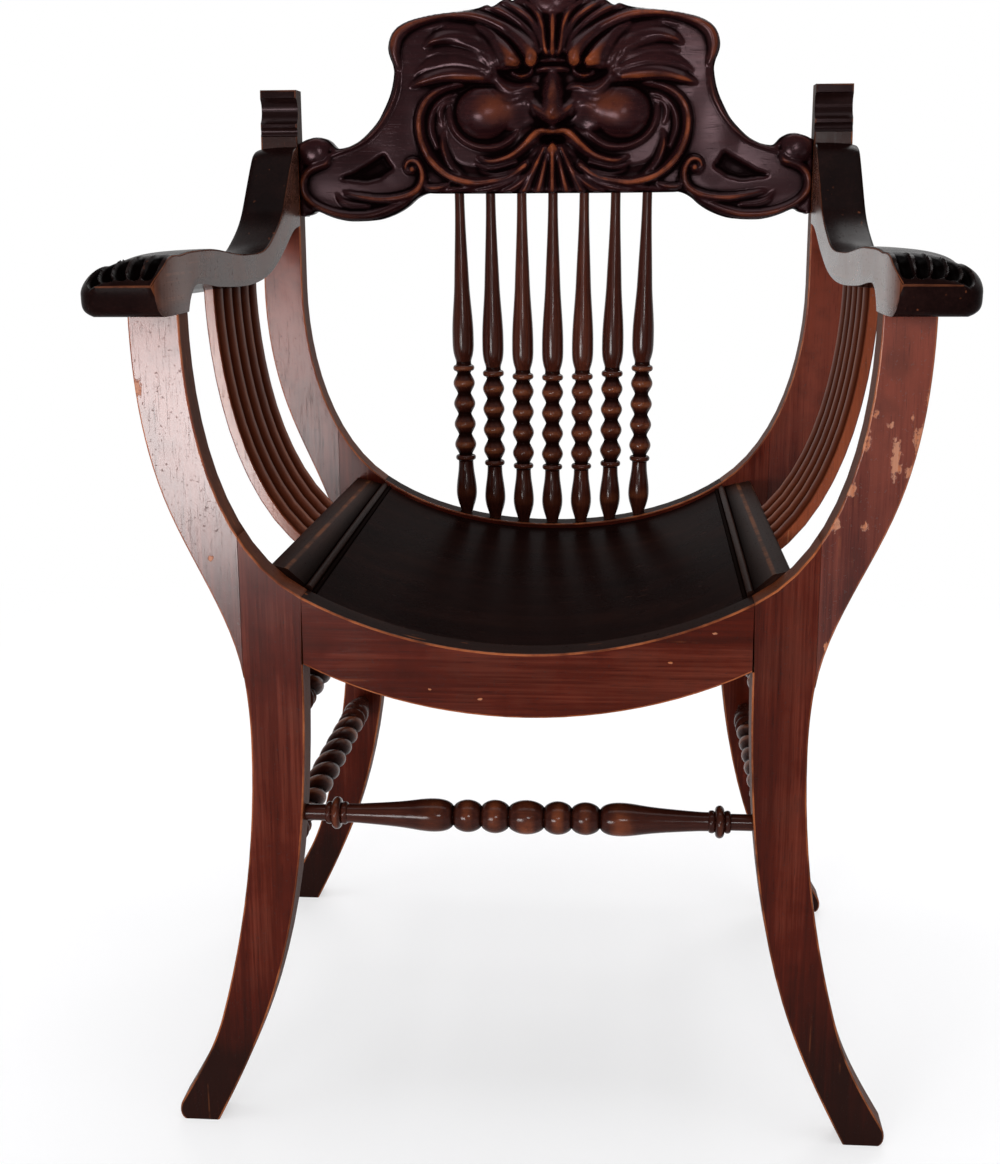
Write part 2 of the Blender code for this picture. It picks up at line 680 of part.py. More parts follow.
for side in (1, -1):
    hand = side_name(side)
    rail_rings = [side_rail_ring(side, y, share) for y, share in seat_rows]
    side_rail = loft("seat_side_rail_" + hand, rail_rings)
    finish(side_rail, MAHOGANY, 0.35)
    rail_z = seat_level(RAIL_IN, 0) - SEAT_T
    rail_x = side * (RIDGE_X + RAIL_OUT) / 2
    for frame, face, along in (("front", BAY_FRONT, -1), ("rear", BAY_BACK, 1)):
        dowel(
            f"seat_side_rail_dowel_{hand}_{frame}", (rail_x, face, rail_z), (0, along, 0),
            side_rail, pieces[frame + "_leg", side],
        )

    arm = loft("arm_" + hand, [arm_ring(side, y) for y in arm_stations])
    finish(arm, MAHOGANY, 0.35)
    arm_x = side * (FRONT_HALF + POST_W / 2)
    dowel(f"arm_dowel_{hand}_front", (arm_x, FRONT_MID, ARM_Z), (0, 0, 1), arm, pieces["upright", side])
    post_joint = (side * (REAR_HALF + POST_W / 2), BAY_BACK, ARM_Z + 0.095)
    dowel(f"arm_dowel_{hand}_rear", post_joint, (0, 1, 0), arm, pieces["post", side])

    slat = loft("side_slat_" + hand, slat_rings(side, SLAT_T, SLAT_W, SLAT_REEDS, 0))
    finish(slat, MAHOGANY, 0.35)
    housing = slat_rings(side, SLAT_T + 2 * CLEAR, SLAT_W + 2 * CLEAR, 0, 2 * CLEAR)
    mortise = loft("slat_mortise_" + hand, housing)
    set_aside(mortise)
    cut(side_rail, mortise)
    cut(arm, mortise)

# Crest board: half its outline, from the middle of its lower edge round to the palmette on top.
crest_half = [(0, CREST_Z)] + bend([
    (0.113, CREST_Z, 0),
    (0.140, CREST_Z - 0.011, -37),
    (REAR_HALF - 0.061, CREST_Z - 0.0255, 0),
    (REAR_HALF - 0.0175, CREST_Z - 0.016, 30),
], 3)
crest_half += [(REAR_HALF - 0.006, CREST_Z - 0.020), (CREST_END, CREST_Z - 0.019)]
crest_half += bend([
    (CREST_END, CREST_Z + 0.0465, 135),
    (REAR_HALF - 0.019, CREST_Z + 0.0535, 180),
    (REAR_HALF - 0.035, CREST_Z + 0.0450, 245),
], 3)
crest_half += bend([
    (REAR_HALF - 0.039, CREST_Z + 0.043, 170),
    (0.1675, CREST_Z + 0.068, 127),
    (0.151, CREST_Z + 0.112, 90),
    (0.1565, CREST_Z + 0.1325, 90),
    (0.121, CREST_Z + 0.162, 170),
    (0.062, CREST_Z + 0.172, 165),
], 3)
leaf_tips = [(0.056, 0.170), (0.042, 0.178), (0.037, 0.1745), (0.021, 0.182), (0.017, 0.1795)]
crest_half += [(x, CREST_Z + z) for x, z in leaf_tips]
crest_half += bend([(0.012, CREST_Z + CREST_H - 0.0025, 140), (0, CREST_Z + CREST_H, 180)], 2)
outline = crest_half[:-1] + [(-x, z) for x, z in reversed(crest_half[1:])]
crest = board("crest_rail", outline, REAR_MID, CREST_T)
face_y = REAR_MID - CREST_T / 2


def boss(name, x, z, width, height, proud, lean=0):
    """A rounded mass standing proud of the crest's face."""
    bpy.ops.mesh.primitive_uv_sphere_add(segments=8, ring_count=6, radius=1)
    mass = bpy.context.object
    mass.name = name
    mass.location = (x, face_y + BOSS_SET, CREST_Z + z)
    mass.rotation_euler = (0, math.radians(lean), 0)
    mass.scale = (width, proud, height)
    set_aside(mass, carving)


def scroll(name, side, spine):
    """A tapering carved scroll from (x, z, radius) points on the crest's face."""
    curve = bpy.data.curves.new(name, "CURVE")
    curve.dimensions = "3D"
    curve.resolution_u = 2
    curve.bevel_depth = 1
    curve.bevel_resolution = 1
    curve.use_fill_caps = True
    spline = curve.splines.new("BEZIER")
    spline.bezier_points.add(len(spine) - 1)
    for point, (x, z, radius) in zip(spline.bezier_points, spine):
        point.co = (side * x, face_y + SCROLL_SET, CREST_Z + z)
        point.radius = radius
        point.handle_left_type = point.handle_right_type = "AUTO"
    set_aside(as_mesh(place(name, curve, carving), carving), carving)


# Carving: a traditional puffing mask in leaf scrolls, between two scrolled wings.
boss("nose", 0, 0.078, 0.0095, 0.020, RELIEF)
boss("nose_bridge", 0, 0.100, 0.0065, 0.016, 0.6 * RELIEF)
boss("beard_leaf", 0, 0.024, 0.0085, 0.0225, 0.6 * RELIEF)
boss("palmette_leaf", 0, 0.157, 0.0095, 0.0245, 0.5 * RELIEF)
for side in (1, -1):
    hand = side_name(side)
    boss("cheek_" + hand, side * 0.062, 0.074, 0.0245, 0.0245, RELIEF)
    boss("lobe_" + hand, side * (REAR_HALF - 0.0195), 0.0365, 0.013, 0.013, 0.4 * RELIEF)
    boss("beard_side_" + hand, side * 0.0185, 0.022, 0.007, 0.021, 0.5 * RELIEF, side * 24)
    boss("palmette_side_" + hand, side * 0.020, 0.155, 0.0075, 0.0225, 0.45 * RELIEF, side * 22)
    scroll("whisker_" + hand, side, [
        (0.006, 0.054, 0.0040),
        (0.036, 0.035, 0.0060),
        (0.0745, 0.0145, 0.0070),
        (0.108, 0.027, 0.0065),
        (0.1245, 0.058, 0.0058),
        (0.117, 0.086, 0.0052),
        (0.0985, 0.0975, 0.0044),
        (0.080, 0.0935, 0.0030),
    ])
    scroll("brow_" + hand, side, [
        (0.0285, 0.112, 0.0075),
        (0.040, 0.128, 0.0100),
        (0.066, 0.143, 0.0072),
        (0.102, 0.147, 0.0040),
    ])
    scroll("shoulder_" + hand, side, [
        (0.143, 0.1185, 0.0052),
        (0.1475, 0.136, 0.0048),
        (0.130, 0.1525, 0.0048),
        (0.094, 0.158, 0.0044),
        (0.058, 0.150, 0.0034),
    ])
    scroll("wing_" + hand, side, [
        (0.130, 0.0255, 0.0052),
        (0.1345, 0.0075, 0.0056),
        (0.155, -0.0085, 0.0060),
        (REAR_HALF - 0.058, -0.0155, 0.0058),
        (REAR_HALF - 0.027, -0.0040, 0.0050),
        (REAR_HALF - 0.0165, 0.0185, 0.0042),
    ])
union = crest.modifiers.new("Carving", "BOOLEAN")
union.operation = "UNION"
union.operand_type = "COLLECTION"
union.collection = carving
finish(crest, DARK_MAHOGANY, 0.3)
for side in (1, -1):
    for tier, z in (("lower", -0.005), ("upper", 0.030)):
        joint = (side * REAR_HALF, REAR_MID, CREST_Z + z)
        dowel(f"crest_dowel_{side_name(side)}_{tier}", joint, (side, 0, 0), crest, pieces["post", side])


def spindle_profile(length, foot):
    """A spindle from its head tenon down: long taper, ring, four balls, ring and vase foot."""
    ball_step, first_ball = 0.0205, 0.069
    profile = [
        (0, length + SPINDLE_TENON),
        (SPINDLE_HEAD_R, length + SPINDLE_TENON),
        (SPINDLE_HEAD_R, length - 0.002),
        (0.0076, length - 0.085),
        (SPINDLE_R, 0.176),
        (SPINDLE_NECK_R, 0.150),
        (SPINDLE_R, 0.145),
        (SPINDLE_NECK_R, 0.140),
    ]
    for ball in reversed(range(4)):
        z = first_ball + ball_step * ball
        profile += [(SPINDLE_R, z + ball_step / 5), (SPINDLE_R, z - ball_step / 5)]
        profile.append((SPINDLE_NECK_R, z - ball_step / 2))
    return profile + [
        (SPINDLE_R, 0.057),
        (SPINDLE_NECK_R, 0.053),
        (0.0103, 0.022),
        (SPINDLE_FOOT_R, foot),
        (SPINDLE_FOOT_R, -SPINDLE_TENON),
        (0, -SPINDLE_TENON),
    ]


for number in range(SPINDLES):
    place_in_row = number - (SPINDLES - 1) / 2
    foot_x, head_x = place_in_row * SPINDLE_FOOT_STEP, place_in_row * SPINDLE_HEAD_STEP
    foot = Vector((foot_x, REAR_MID, crossing(rear_edge, 0, abs(foot_x))))
    head = Vector((head_x, REAR_MID, CREST_Z))
    axis = (head - foot).normalized()
    shoulder = crossing(rear_edge, 0, abs(foot_x) + SPINDLE_FOOT_R) - foot.z + CLEAR
    length = (head - foot).length - CLEAR
    spindle = turned(f"spindle_{number + 1}", spindle_profile(length, shoulder), 8)
    spindle.location = foot
    spindle.rotation_euler = (0, math.atan2(axis.x, axis.z), 0)
    finish(spindle, DARK_MAHOGANY, 0.3)
    bore(rear_rail, foot - SPINDLE_TENON * axis, foot + SPINDLE_TENON * axis, SPINDLE_FOOT_R, 10)
    bore(crest, head - SPINDLE_TENON * axis, head + SPINDLE_TENON * axis, SPINDLE_HEAD_R, 10)

# The exact solver leaves slivers where the carving's small masses meet the board.
for step in crest.modifiers:
    step.solver = "MANIFOLD"
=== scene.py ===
"""Carved armchair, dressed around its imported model."""

import math

import bmesh
import bpy
import numpy as np
from mathutils import Matrix, Vector
from mathutils.geometry import interpolate_bezier


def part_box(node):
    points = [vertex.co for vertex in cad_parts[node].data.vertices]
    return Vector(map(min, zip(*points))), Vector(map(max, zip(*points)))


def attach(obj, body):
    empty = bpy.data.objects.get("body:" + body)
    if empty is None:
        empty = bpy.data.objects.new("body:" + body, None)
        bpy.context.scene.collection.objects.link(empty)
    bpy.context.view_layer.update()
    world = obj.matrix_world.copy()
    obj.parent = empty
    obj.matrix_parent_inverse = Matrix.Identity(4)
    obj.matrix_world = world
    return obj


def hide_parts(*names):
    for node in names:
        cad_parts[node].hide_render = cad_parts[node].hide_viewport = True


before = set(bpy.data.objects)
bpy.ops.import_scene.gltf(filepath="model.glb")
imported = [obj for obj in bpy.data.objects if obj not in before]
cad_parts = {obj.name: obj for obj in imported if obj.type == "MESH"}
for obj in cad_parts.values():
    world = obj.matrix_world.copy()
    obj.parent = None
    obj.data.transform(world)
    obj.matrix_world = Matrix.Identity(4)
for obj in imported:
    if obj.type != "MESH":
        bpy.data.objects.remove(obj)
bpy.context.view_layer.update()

# Front and rear frames.  Each is sawn from mahogany boards: two sabre legs, two uprights glued to
# their edges and a curved rail dowelled between the legs.  The faces are sanded flush at the glue
# lines and varnished, and only the free arrises are eased.
BOARD = 0.026
FRONT_MID, REAR_MID = -0.188, 0.236
GLUE = 0.00015  # half a glue line
JOINT_X, GLUE_X, GLUE_DROP = 0.168, 0.2145, 0.0115
FRONT_HALF, REAR_HALF, POST_W = 0.250, 0.246, 0.038
FRONT_DIP, REAR_DIP = 0.3995, 0.4145
ARM_Z, POST_TOP = 0.650, 0.835
RAIL_DEEP, RAIL_CURVE = 0.050, 0.039
ARRIS = 0.0014
HANDS = ((1, "right"), (-1, "left"))


def bend(knots, steps=12):
    """Points along smooth curves through knots (a, b, heading in degrees)."""
    points = []
    for (a, b, heading), (c, d, next_heading) in zip(knots, knots[1:]):
        start, end = Vector((a, b, 0)), Vector((c, d, 0))
        reach = (end - start).length / 3
        angle, next_angle = math.radians(heading), math.radians(next_heading)
        away = start + reach * Vector((math.cos(angle), math.sin(angle), 0))
        into = end - reach * Vector((math.cos(next_angle), math.sin(next_angle), 0))
        on_curve = interpolate_bezier(start, away, into, end, steps + 1)[1:-1]
        points += [(a, b)] + [(point.x, point.y) for point in on_curve]
    return points + [tuple(knots[-1][:2])]


def level(run, x):
    """Heights of a run, rising in its first coordinate, at one or more places."""
    places, heights = zip(*run)
    return np.interp(x, places, heights)


def stretch(run, low, high):
    """The part of such a run from one place to another."""
    between = [point for point in run if low < point[0] < high]
    return [(low, float(level(run, low))), *between, (high, float(level(run, high)))]


def added(name, operator, **options):
    """A new primitive under its own name, alone in the selection."""
    bpy.ops.object.select_all(action="DESELECT")
    operator(**options)
    piece = bpy.context.object
    piece.name = piece.data.name = name
    return piece


def on_all(operator, **options):
    """Run a mesh operator on the whole of the piece in edit mode."""
    bpy.ops.mesh.select_all(action="SELECT")
    operator(**options)


def sawn_board(name, runs, y, side=1):
    """A board sawn to runs of (x, z) points, mirrored for the left side (-1).  Edges along a run are
    eased, and those from one run to the next are glue lines and stay sharp."""
    outline = [(side * x, z) for run in runs for x, z in run]
    ends = set(np.cumsum([len(run) for run in runs]) - 1)

    def span(*points):
        return frozenset((round(x, 5), round(z, 5)) for x, z in points)

    eased = {span(a, b) for i, (a, b) in enumerate(zip(outline, outline[1:])) if i not in ends}
    piece = added(name, bpy.ops.mesh.primitive_circle_add, vertices=len(outline), fill_type="NGON")
    for corner, (x, z) in zip(piece.data.vertices, outline):
        corner.co = (x, y - BOARD / 2, z)
    bpy.ops.object.mode_set(mode="EDIT")
    on_all(bpy.ops.mesh.extrude_region_move, TRANSFORM_OT_translate={"value": (0, BOARD, 0)})
    on_all(bpy.ops.mesh.normals_make_consistent, inside=False)
    bpy.ops.mesh.select_all(action="DESELECT")
    bpy.ops.mesh.select_mode(type="EDGE")
    solid = bmesh.from_edit_mesh(piece.data)
    for edge in solid.edges:
        a, b = (corner.co for corner in edge.verts)
        on_face = abs(a.y - b.y) < 1e-6 and abs(abs(a.y - y) - BOARD / 2) < 1e-5
        edge.select_set(on_face and span((a.x, a.z), (b.x, b.z)) in eased)
    bmesh.update_edit_mesh(piece.data)
    bpy.ops.mesh.bevel(offset=ARRIS, segments=3, affect="EDGES")
    solid = bmesh.from_edit_mesh(piece.data)
    wear = solid.loops.layers.float.new("wear")
    for face in solid.faces:
        for loop in face.loops:
            loop[wear] = 1.0 if face.select else 0.0
    bmesh.update_edit_mesh(piece.data)
    bpy.ops.object.mode_set(mode="OBJECT")
    bpy.ops.object.shade_smooth_by_angle(angle=math.radians(32))
    return piece


class Shade:
    """A value in a material.  Arithmetic on it adds Math nodes, and node() adds any other node."""

    def __init__(self, tree, socket=None):
        self.tree, self.socket = tree, socket

    @classmethod
    def of(cls, owner):
        """Where to start in an emptied material or world."""
        owner.use_nodes = True
        owner.node_tree.nodes.clear()
        return cls(owner.node_tree)

    def node(self, kind, settings=None, sockets=None, output=0):
        """Add a node with its settings, its sockets' values or links, and one of its outputs."""
        made = self.tree.nodes.new("ShaderNode" + kind)
        for key, value in (settings or {}).items():
            if key == "stops":
                ramp = made.color_ramp.elements
                while len(ramp) < len(value):
                    ramp.new(0.5)
                for element, (place, colour) in zip(ramp, value):
                    element.position, element.color = place, (*colour, 1)
            else:
                setattr(made, key, value)
        for key, value in (sockets or {}).items():
            if isinstance(value, Shade):
                self.tree.links.new(value.socket, made.inputs[key])
            else:
                made.inputs[key].default_value = value
        return Shade(self.tree, made.outputs[output] if made.outputs else None)

    def maths(self, operation, *values):
        return self.node("Math", {"operation": operation}, dict(enumerate(values)))

    def __add__(self, other):
        return self.maths("ADD", self, other)

    __radd__ = __add__

    def __sub__(self, other):
        return self.maths("SUBTRACT", self, other)

    def __rsub__(self, other):
        return self.maths("SUBTRACT", other, self)

    def __mul__(self, other):
        return self.maths("MULTIPLY", self, other)

    __rmul__ = __mul__

    def rise(self, low, high):
        """0 below low, 1 above high and smooth between them."""
        return self.node(
            "MapRange", {"interpolation_type": "SMOOTHSTEP"}, {0: self, 1: low, 2: high, 3: 0.0, 4: 1.0}
        )

    def over(self, under, upper):
        """One colour over another, where this value is 1."""
        colours = {
            key: colour if isinstance(colour, Shade) else (*colour, 1)
            for key, colour in ((6, under), (7, upper))
        }
        return self.node("Mix", {"data_type": "RGBA"}, {0: self, **colours}, 2)


GRAIN_TURN = {"X": (0, -math.pi / 2, 0), "Y": (math.pi / 2, 0, 0), "Z": (0, 0, 0)}
CHIPPED = (0.36, 0.165, 0.095)  # bare wood where the varnish is off


def varnished(
    name, grain, deep, mid, pale, rubbed, gloss=0.25, shine=0.4, worn=0.7, grime_and_shade=0.0, painted_light_by_height=None,
    darker_above=None, scratched=0.3, scuffs=(), tint=(1, 1, 1),
):
    """Varnished wood whose grain runs along one axis: streaked figure, open pores, rubbed arrises,
    hollows darkened with grime and painted shade, fine scratches, painted light and shade that make it
    lighter upwards and darker at the feet, a colour that turns darker upwards and, at given places,
    chips."""
    wood = bpy.data.materials.new(name)
    make = Shade.of(wood)
    place = make.node("TexCoord", output="Object")
    along = make.node("Mapping", sockets={"Vector": place, "Rotation": GRAIN_TURN[grain]})

    def streaks(across, length, detail, rough=0.55):
        pulled = make.node("Mapping", sockets={"Vector": along, "Scale": (across, across, length)})
        return make.node(
            "TexNoise", sockets={"Vector": pulled, "Scale": 1.0, "Detail": detail, "Roughness": rough}
        )

    def clouds(size, detail=3.0):
        return make.node(
            "TexNoise", sockets={"Vector": place, "Scale": size, "Detail": detail, "Roughness": 0.6}
        )

    ribbon = streaks(38, 2.2, 4.0)
    fibre = streaks(420, 9, 3.0)
    pores = streaks(1500, 42, 2.0).rise(0.60, 0.72)
    mottle = clouds(11.0)
    patina = clouds(46.0, 4.0)
    speck = clouds(420.0, 2.0).rise(0.64, 0.72)
    tone = ribbon * 0.36 + fibre * 0.24 + mottle * 0.38 + patina * 0.14 - 0.06
    if painted_light_by_height or darker_above:
        height = make.node("SeparateXYZ", sockets={0: place}, output="Z")
    # Painted light and shade: the wood is lighter towards the top and darker near the feet.
    if painted_light_by_height:
        tone = tone + height.rise(*painted_light_by_height) * 0.25 - (1 - height.rise(0.0, 0.17)) * 0.25
    colour = make.node(
        "ValToRGB", {"stops": [(0.0, deep), (0.5, mid), (1.0, pale)]}, {0: tone.rise(0.24, 0.76)}
    )
    dark = tuple(0.3 * part for part in deep)
    # Darker towards the top, between two given heights.
    if darker_above:
        colour = (height.rise(*darker_above) * 0.93).over(colour, tuple(0.5 * part for part in deep))
    colour = (pores * 0.5 + speck * 0.35).over(colour, dark)
    smears = (mottle * 0.6 + patina * 0.4).rise(0.46, 0.64)
    colour = (smears * 0.4).over(colour, deep)

    wear = make.node("Attribute", {"attribute_name": "wear"}, output="Fac")
    broken = (mottle * 0.5 + patina * 0.5).rise(0.42, 0.58)
    rub = wear.rise(0.2, 0.95) * (0.22 + broken * 0.78) * worn
    colour = rub.over(colour, rubbed)

    scratch = streaks(260, 3.0, 1.0, 0.3).rise(0.70, 0.725) * clouds(30.0).rise(0.50, 0.62)
    colour = (scratch * scratched).over(colour, rubbed)
    polish = gloss + mottle * 0.12 - 0.06 + pores * 0.02 + rub * 0.10 + speck * 0.25
    relief = ribbon * 0.15 + fibre * 0.25 - pores * 0.16 + patina * 0.35 - scratch * scratched
    if scuffs:
        ragged = streaks(330, 70, 5.0, 0.75) * 0.5 + clouds(260.0, 5.0) * 0.5
        chip = 0.0
        for centre, half_width, half_height in scuffs:
            spot = make.node("Mapping", {"vector_type": "TEXTURE"}, {
                "Vector": place, "Location": centre, "Scale": (half_width, 0.02, half_height),
            })
            reach = make.node("VectorMath", {"operation": "LENGTH"}, {0: spot}, "Value")
            chip = make.maths("MAXIMUM", chip, 1 - reach)
        chip = (chip * 1.25 + (ragged - 0.5) * 5.5).rise(0.30, 0.75) * chip.rise(0.0, 0.2)
        bare = fibre.rise(0.3, 0.7).over(rubbed, CHIPPED)
        colour = (chip * 0.70).over(colour, bare)
        polish = polish + chip * 0.3
        relief = relief - chip * 1.2
    bump = make.node("Bump", sockets={"Strength": 0.32, "Distance": 0.00035, "Height": relief})
    shader = make.node("BsdfPrincipled", sockets={
        "Base Color": colour, "Roughness": polish, "Normal": bump, "Specular IOR Level": shine,
        "Specular Tint": (*tint, 1),
    })
    # Grime and painted shade: a dark matt finish is mixed in where the hollows are marked.
    if grime_and_shade:
        soil = make.node("Attribute", {"attribute_name": "soil"}, output="Fac") * grime_and_shade
        dirt_and_shade = make.node("BsdfPrincipled", sockets={
            "Base Color": (*dark, 1), "Roughness": 0.9, "Specular IOR Level": 0.0,
        })
        shader = make.node("MixShader", sockets={0: soil, 1: shader, 2: dirt_and_shade})
    make.node("OutputMaterial", sockets={"Surface": shader})
    return wood


def dress(piece, wood, slot, *nodes, edge=None):
    """Give a finished piece its wood, and its sawn edges another, and let it stand for its nodes."""
    piece.data.materials.clear()
    piece.data.materials.append(wood)
    if edge:
        piece.data.materials.append(edge)
        for face in piece.data.polygons:
            face.material_index = int(abs(face.normal.y) < 0.2)
        piece.modifiers.new("Flat faces", "WEIGHTED_NORMAL").keep_sharp = True
        bpy.context.view_layer.objects.active = piece
        bpy.ops.object.modifier_apply(modifier="Flat faces")
    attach(piece, "root")
    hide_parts(*nodes)


def face_with(piece, wood, where):
    """Give another wood to those faces of a dressed piece that a test picks."""
    piece.data.materials.append(wood)
    for face in piece.data.polygons:
        if where(face):
            face.material_index = len(piece.data.materials) - 1


front_edge = bend([(0, FRONT_DIP, 0), (JOINT_X, FRONT_DIP + 0.0415, 28), (FRONT_HALF, ARM_Z, 90)])
rear_edge = bend([(0, REAR_DIP, 0), (JOINT_X, REAR_DIP + 0.0435, 34), (REAR_HALF, ARM_Z, 90)])

# Its pair of heights paints light and shade: lighter towards the top, darker near the feet.
RED_BROWN = dict(
    deep=(0.0100, 0.0023, 0.0013), mid=(0.045, 0.0054, 0.0023), pale=(0.122, 0.0250, 0.0140),
    rubbed=(0.32, 0.095, 0.032), painted_light_by_height=(0.42, 0.66), gloss=0.20, worn=0.6, scratched=0.1,
)
EDGE_BROWN = dict(
    deep=(0.026, 0.0068, 0.0028), mid=(0.066, 0.0165, 0.0062), pale=(0.125, 0.036, 0.0138),
    rubbed=(0.32, 0.095, 0.032), gloss=0.42, shine=0.012, worn=0.5,
)
DARKER_ABOVE = (0.735, 0.790)  # heights between which the posts turn darker towards the top
edge_wood = varnished("edge_mahogany", "Z", **EDGE_BROWN)
post_edge_wood = varnished("post_edge_mahogany", "Z", darker_above=DARKER_ABOVE, **EDGE_BROWN)
FRONT_FACE = FRONT_MID - BOARD / 2
CHIPS = [  # place across and up, half width and half height
    (0.2640, 0.5480, 0.0055, 0.0200), (0.2800, 0.5620, 0.0060, 0.0150), (0.2850, 0.5890, 0.0040, 0.0110),
    (0.2735, 0.5385, 0.0040, 0.0070), (0.2425, 0.5620, 0.0050, 0.0100), (0.2480, 0.5800, 0.0035, 0.0040),
    (0.2590, 0.5730, 0.0035, 0.0035), (0.2740, 0.5780, 0.0035, 0.0040), (0.2335, 0.5255, 0.0050, 0.0090),
    (0.2240, 0.5005, 0.0040, 0.0080), (0.2450, 0.4990, 0.0045, 0.0055), (0.2215, 0.4070, 0.0030, 0.0080),
    (-0.2845, 0.5965, 0.0050, 0.0110), (-0.2350, 0.4700, 0.0030, 0.0025),
]
upright_wood = varnished(
    "upright_mahogany", "Z", shine=0.26, **RED_BROWN,
    scuffs=[((x, FRONT_FACE, z), w, h) for x, z, w, h in CHIPS],
)
post_wood = varnished("post_mahogany", "Z", shine=0.12, darker_above=DARKER_ABOVE, **RED_BROWN)
leg_wood = varnished("leg_mahogany", "Z", shine=0.065, **RED_BROWN)
rail_wood = varnished("rail_mahogany", "X", shine=0.05, **RED_BROWN, scuffs=[
    ((0.1080, FRONT_FACE, 0.3950), 0.0024, 0.0013), ((-0.0720, FRONT_FACE, 0.3710), 0.0018, 0.0013),
    ((-0.0340, FRONT_FACE, 0.3640), 0.0028, 0.0012), ((0.1400, FRONT_FACE, 0.4180), 0.0025, 0.0013),
])
rail_top_wood = varnished(
    "rail_top_mahogany", "X", gloss=0.40, shine=0.004, worn=0.5, deep=(0.0045, 0.0018, 0.0014),
    mid=(0.0110, 0.0041, 0.0030), pale=(0.024, 0.0090, 0.0062), rubbed=(0.32, 0.095, 0.032),
)


def leg_runs(edge, low):
    """A sabre leg: inner edge, head under the seat and outer edge down to the toe."""
    inner = bend([(0.251, 0, 117), (0.1995, 0.121, 107), (JOINT_X + GLUE, low, 90)])
    outer = bend([
        (GLUE_X - GLUE, low - GLUE_DROP, 262), (JOINT_X + 0.043, 0.325, 270), (0.2445, 0.092, 286),
        (0.282, 0.014, 300),
    ]) + bend([(0.282, 0.014, 292), (0.280, 0, 215)], 6)[1:]
    return [inner, stretch(edge, JOINT_X + GLUE, GLUE_X - GLUE), outer]


def upright_runs(half, edge, dip, low, top):
    """An upright's inner and outer edges, from the leg's glue line to its top."""
    inner = stretch(edge, GLUE_X + GLUE, half)
    outer = bend([
        (half + POST_W, ARM_Z, 270), (half + POST_W / 2, dip + 0.1165, 251),
        (GLUE_X + GLUE, low - GLUE_DROP, 262),
    ])
    return [inner + top + outer] if top else [inner, outer]


POST_TAPER = 0.003
CAP_LOW = POST_TOP - 0.0545
CAP_COVES = ((0.014, 0.0195), (0.005, 0.039))  # radius, and depth of the axis below the top
# The front faces of the posts' caps get a darker, duller wood: painted shade that keeps the coves dark.
cap_shaded_wood = varnished(
    "cap_mahogany", "X", gloss=0.22, shine=0.07, worn=0.3, scratched=0, tint=(1.0, 0.72, 0.76),
    deep=(0.0030, 0.0012, 0.0012), mid=(0.0068, 0.0026, 0.0024), pale=(0.0150, 0.0058, 0.0050),
    rubbed=(0.20, 0.060, 0.026),
)
post_cap = [
    (REAR_HALF, z) for z in np.linspace(ARM_Z + 0.012, POST_TOP, 14)
] + [(REAR_HALF + POST_W - POST_TAPER, POST_TOP)] + [
    (REAR_HALF + POST_W - POST_TAPER * share, POST_TOP - (POST_TOP - ARM_Z) * (1 - share))
    for share in (0.8, 0.6, 0.4, 0.2)
]
for frame_name, edge, dip, y, upright_name, half, top, face_wood, side_wood in (
    ("front", front_edge, FRONT_DIP, FRONT_MID, "upright", FRONT_HALF, [], upright_wood, edge_wood),
    ("rear", rear_edge, REAR_DIP, REAR_MID, "post", REAR_HALF, post_cap, post_wood, post_edge_wood),
):
    low = dip - RAIL_DEEP + RAIL_CURVE
    for side, hand in HANDS:
        leg = sawn_board(f"{frame_name}_leg_{hand}_board", leg_runs(edge, low), y, side)
        dress(leg, leg_wood, "mahogany_frame", f"{frame_name}_leg_{hand}", edge=edge_wood)
        node = f"{frame_name}_{upright_name}_{hand}"
        upright = sawn_board(node + "_board", upright_runs(half, edge, dip, low, top), y, side)
        for radius, drop in CAP_COVES if top else ():
            gouge = added(
                "gouge", bpy.ops.mesh.primitive_cylinder_add, vertices=64, radius=radius,
                location=(side * (half + POST_W / 2), y - BOARD / 2 - radius / 2, POST_TOP - drop),
                depth=3 * POST_W, rotation=(0, math.pi / 2, 0),
            )
            hollow = upright.modifiers.new("Cove", "BOOLEAN")
            hollow.object, hollow.operation = gouge, "DIFFERENCE"
            bpy.context.view_layer.objects.active = upright
            bpy.ops.object.modifier_apply(modifier="Cove")
            bpy.data.objects.remove(gouge)
        dress(upright, face_wood, "mahogany_frame", node, edge=side_wood)
        if top:
            face_with(upright, cap_shaded_wood, lambda face: face.center.z > CAP_LOW and face.normal.y < -0.1)
    rail_low = bend([(0, dip - RAIL_DEEP, 0), (JOINT_X, low, 27)])
    halves = [stretch(run, 0, JOINT_X - GLUE) for run in (edge, rail_low)]
    over, under = ([(-x, z) for x, z in reversed(run[1:])] + run for run in halves)
    rail = sawn_board(f"{frame_name}_rail_board", [over, under[::-1]], y)
    dress(rail, rail_wood, "mahogany_frame", f"{frame_name}_rail", edge=edge_wood)
    face_with(rail, rail_top_wood, lambda face: face.material_index == 1 and face.normal.z > 0.5)

# Turned stretchers.  Both are lathe-turned mahogany, seated in the legs' inner edges: in front a show
# turning with collars, two vases and five beads, the middle one wider, and behind a plain swelling rod.
STRETCHER_Z, SHOULDER, TENON, ROD_R = 0.265, 0.1755, 0.014, 0.0064
BEADS_HALF, MIDDLE_BEAD, BEAD_CORE, BEAD_GAP = 0.05625, 0.0272, 0.0080, 0.0002


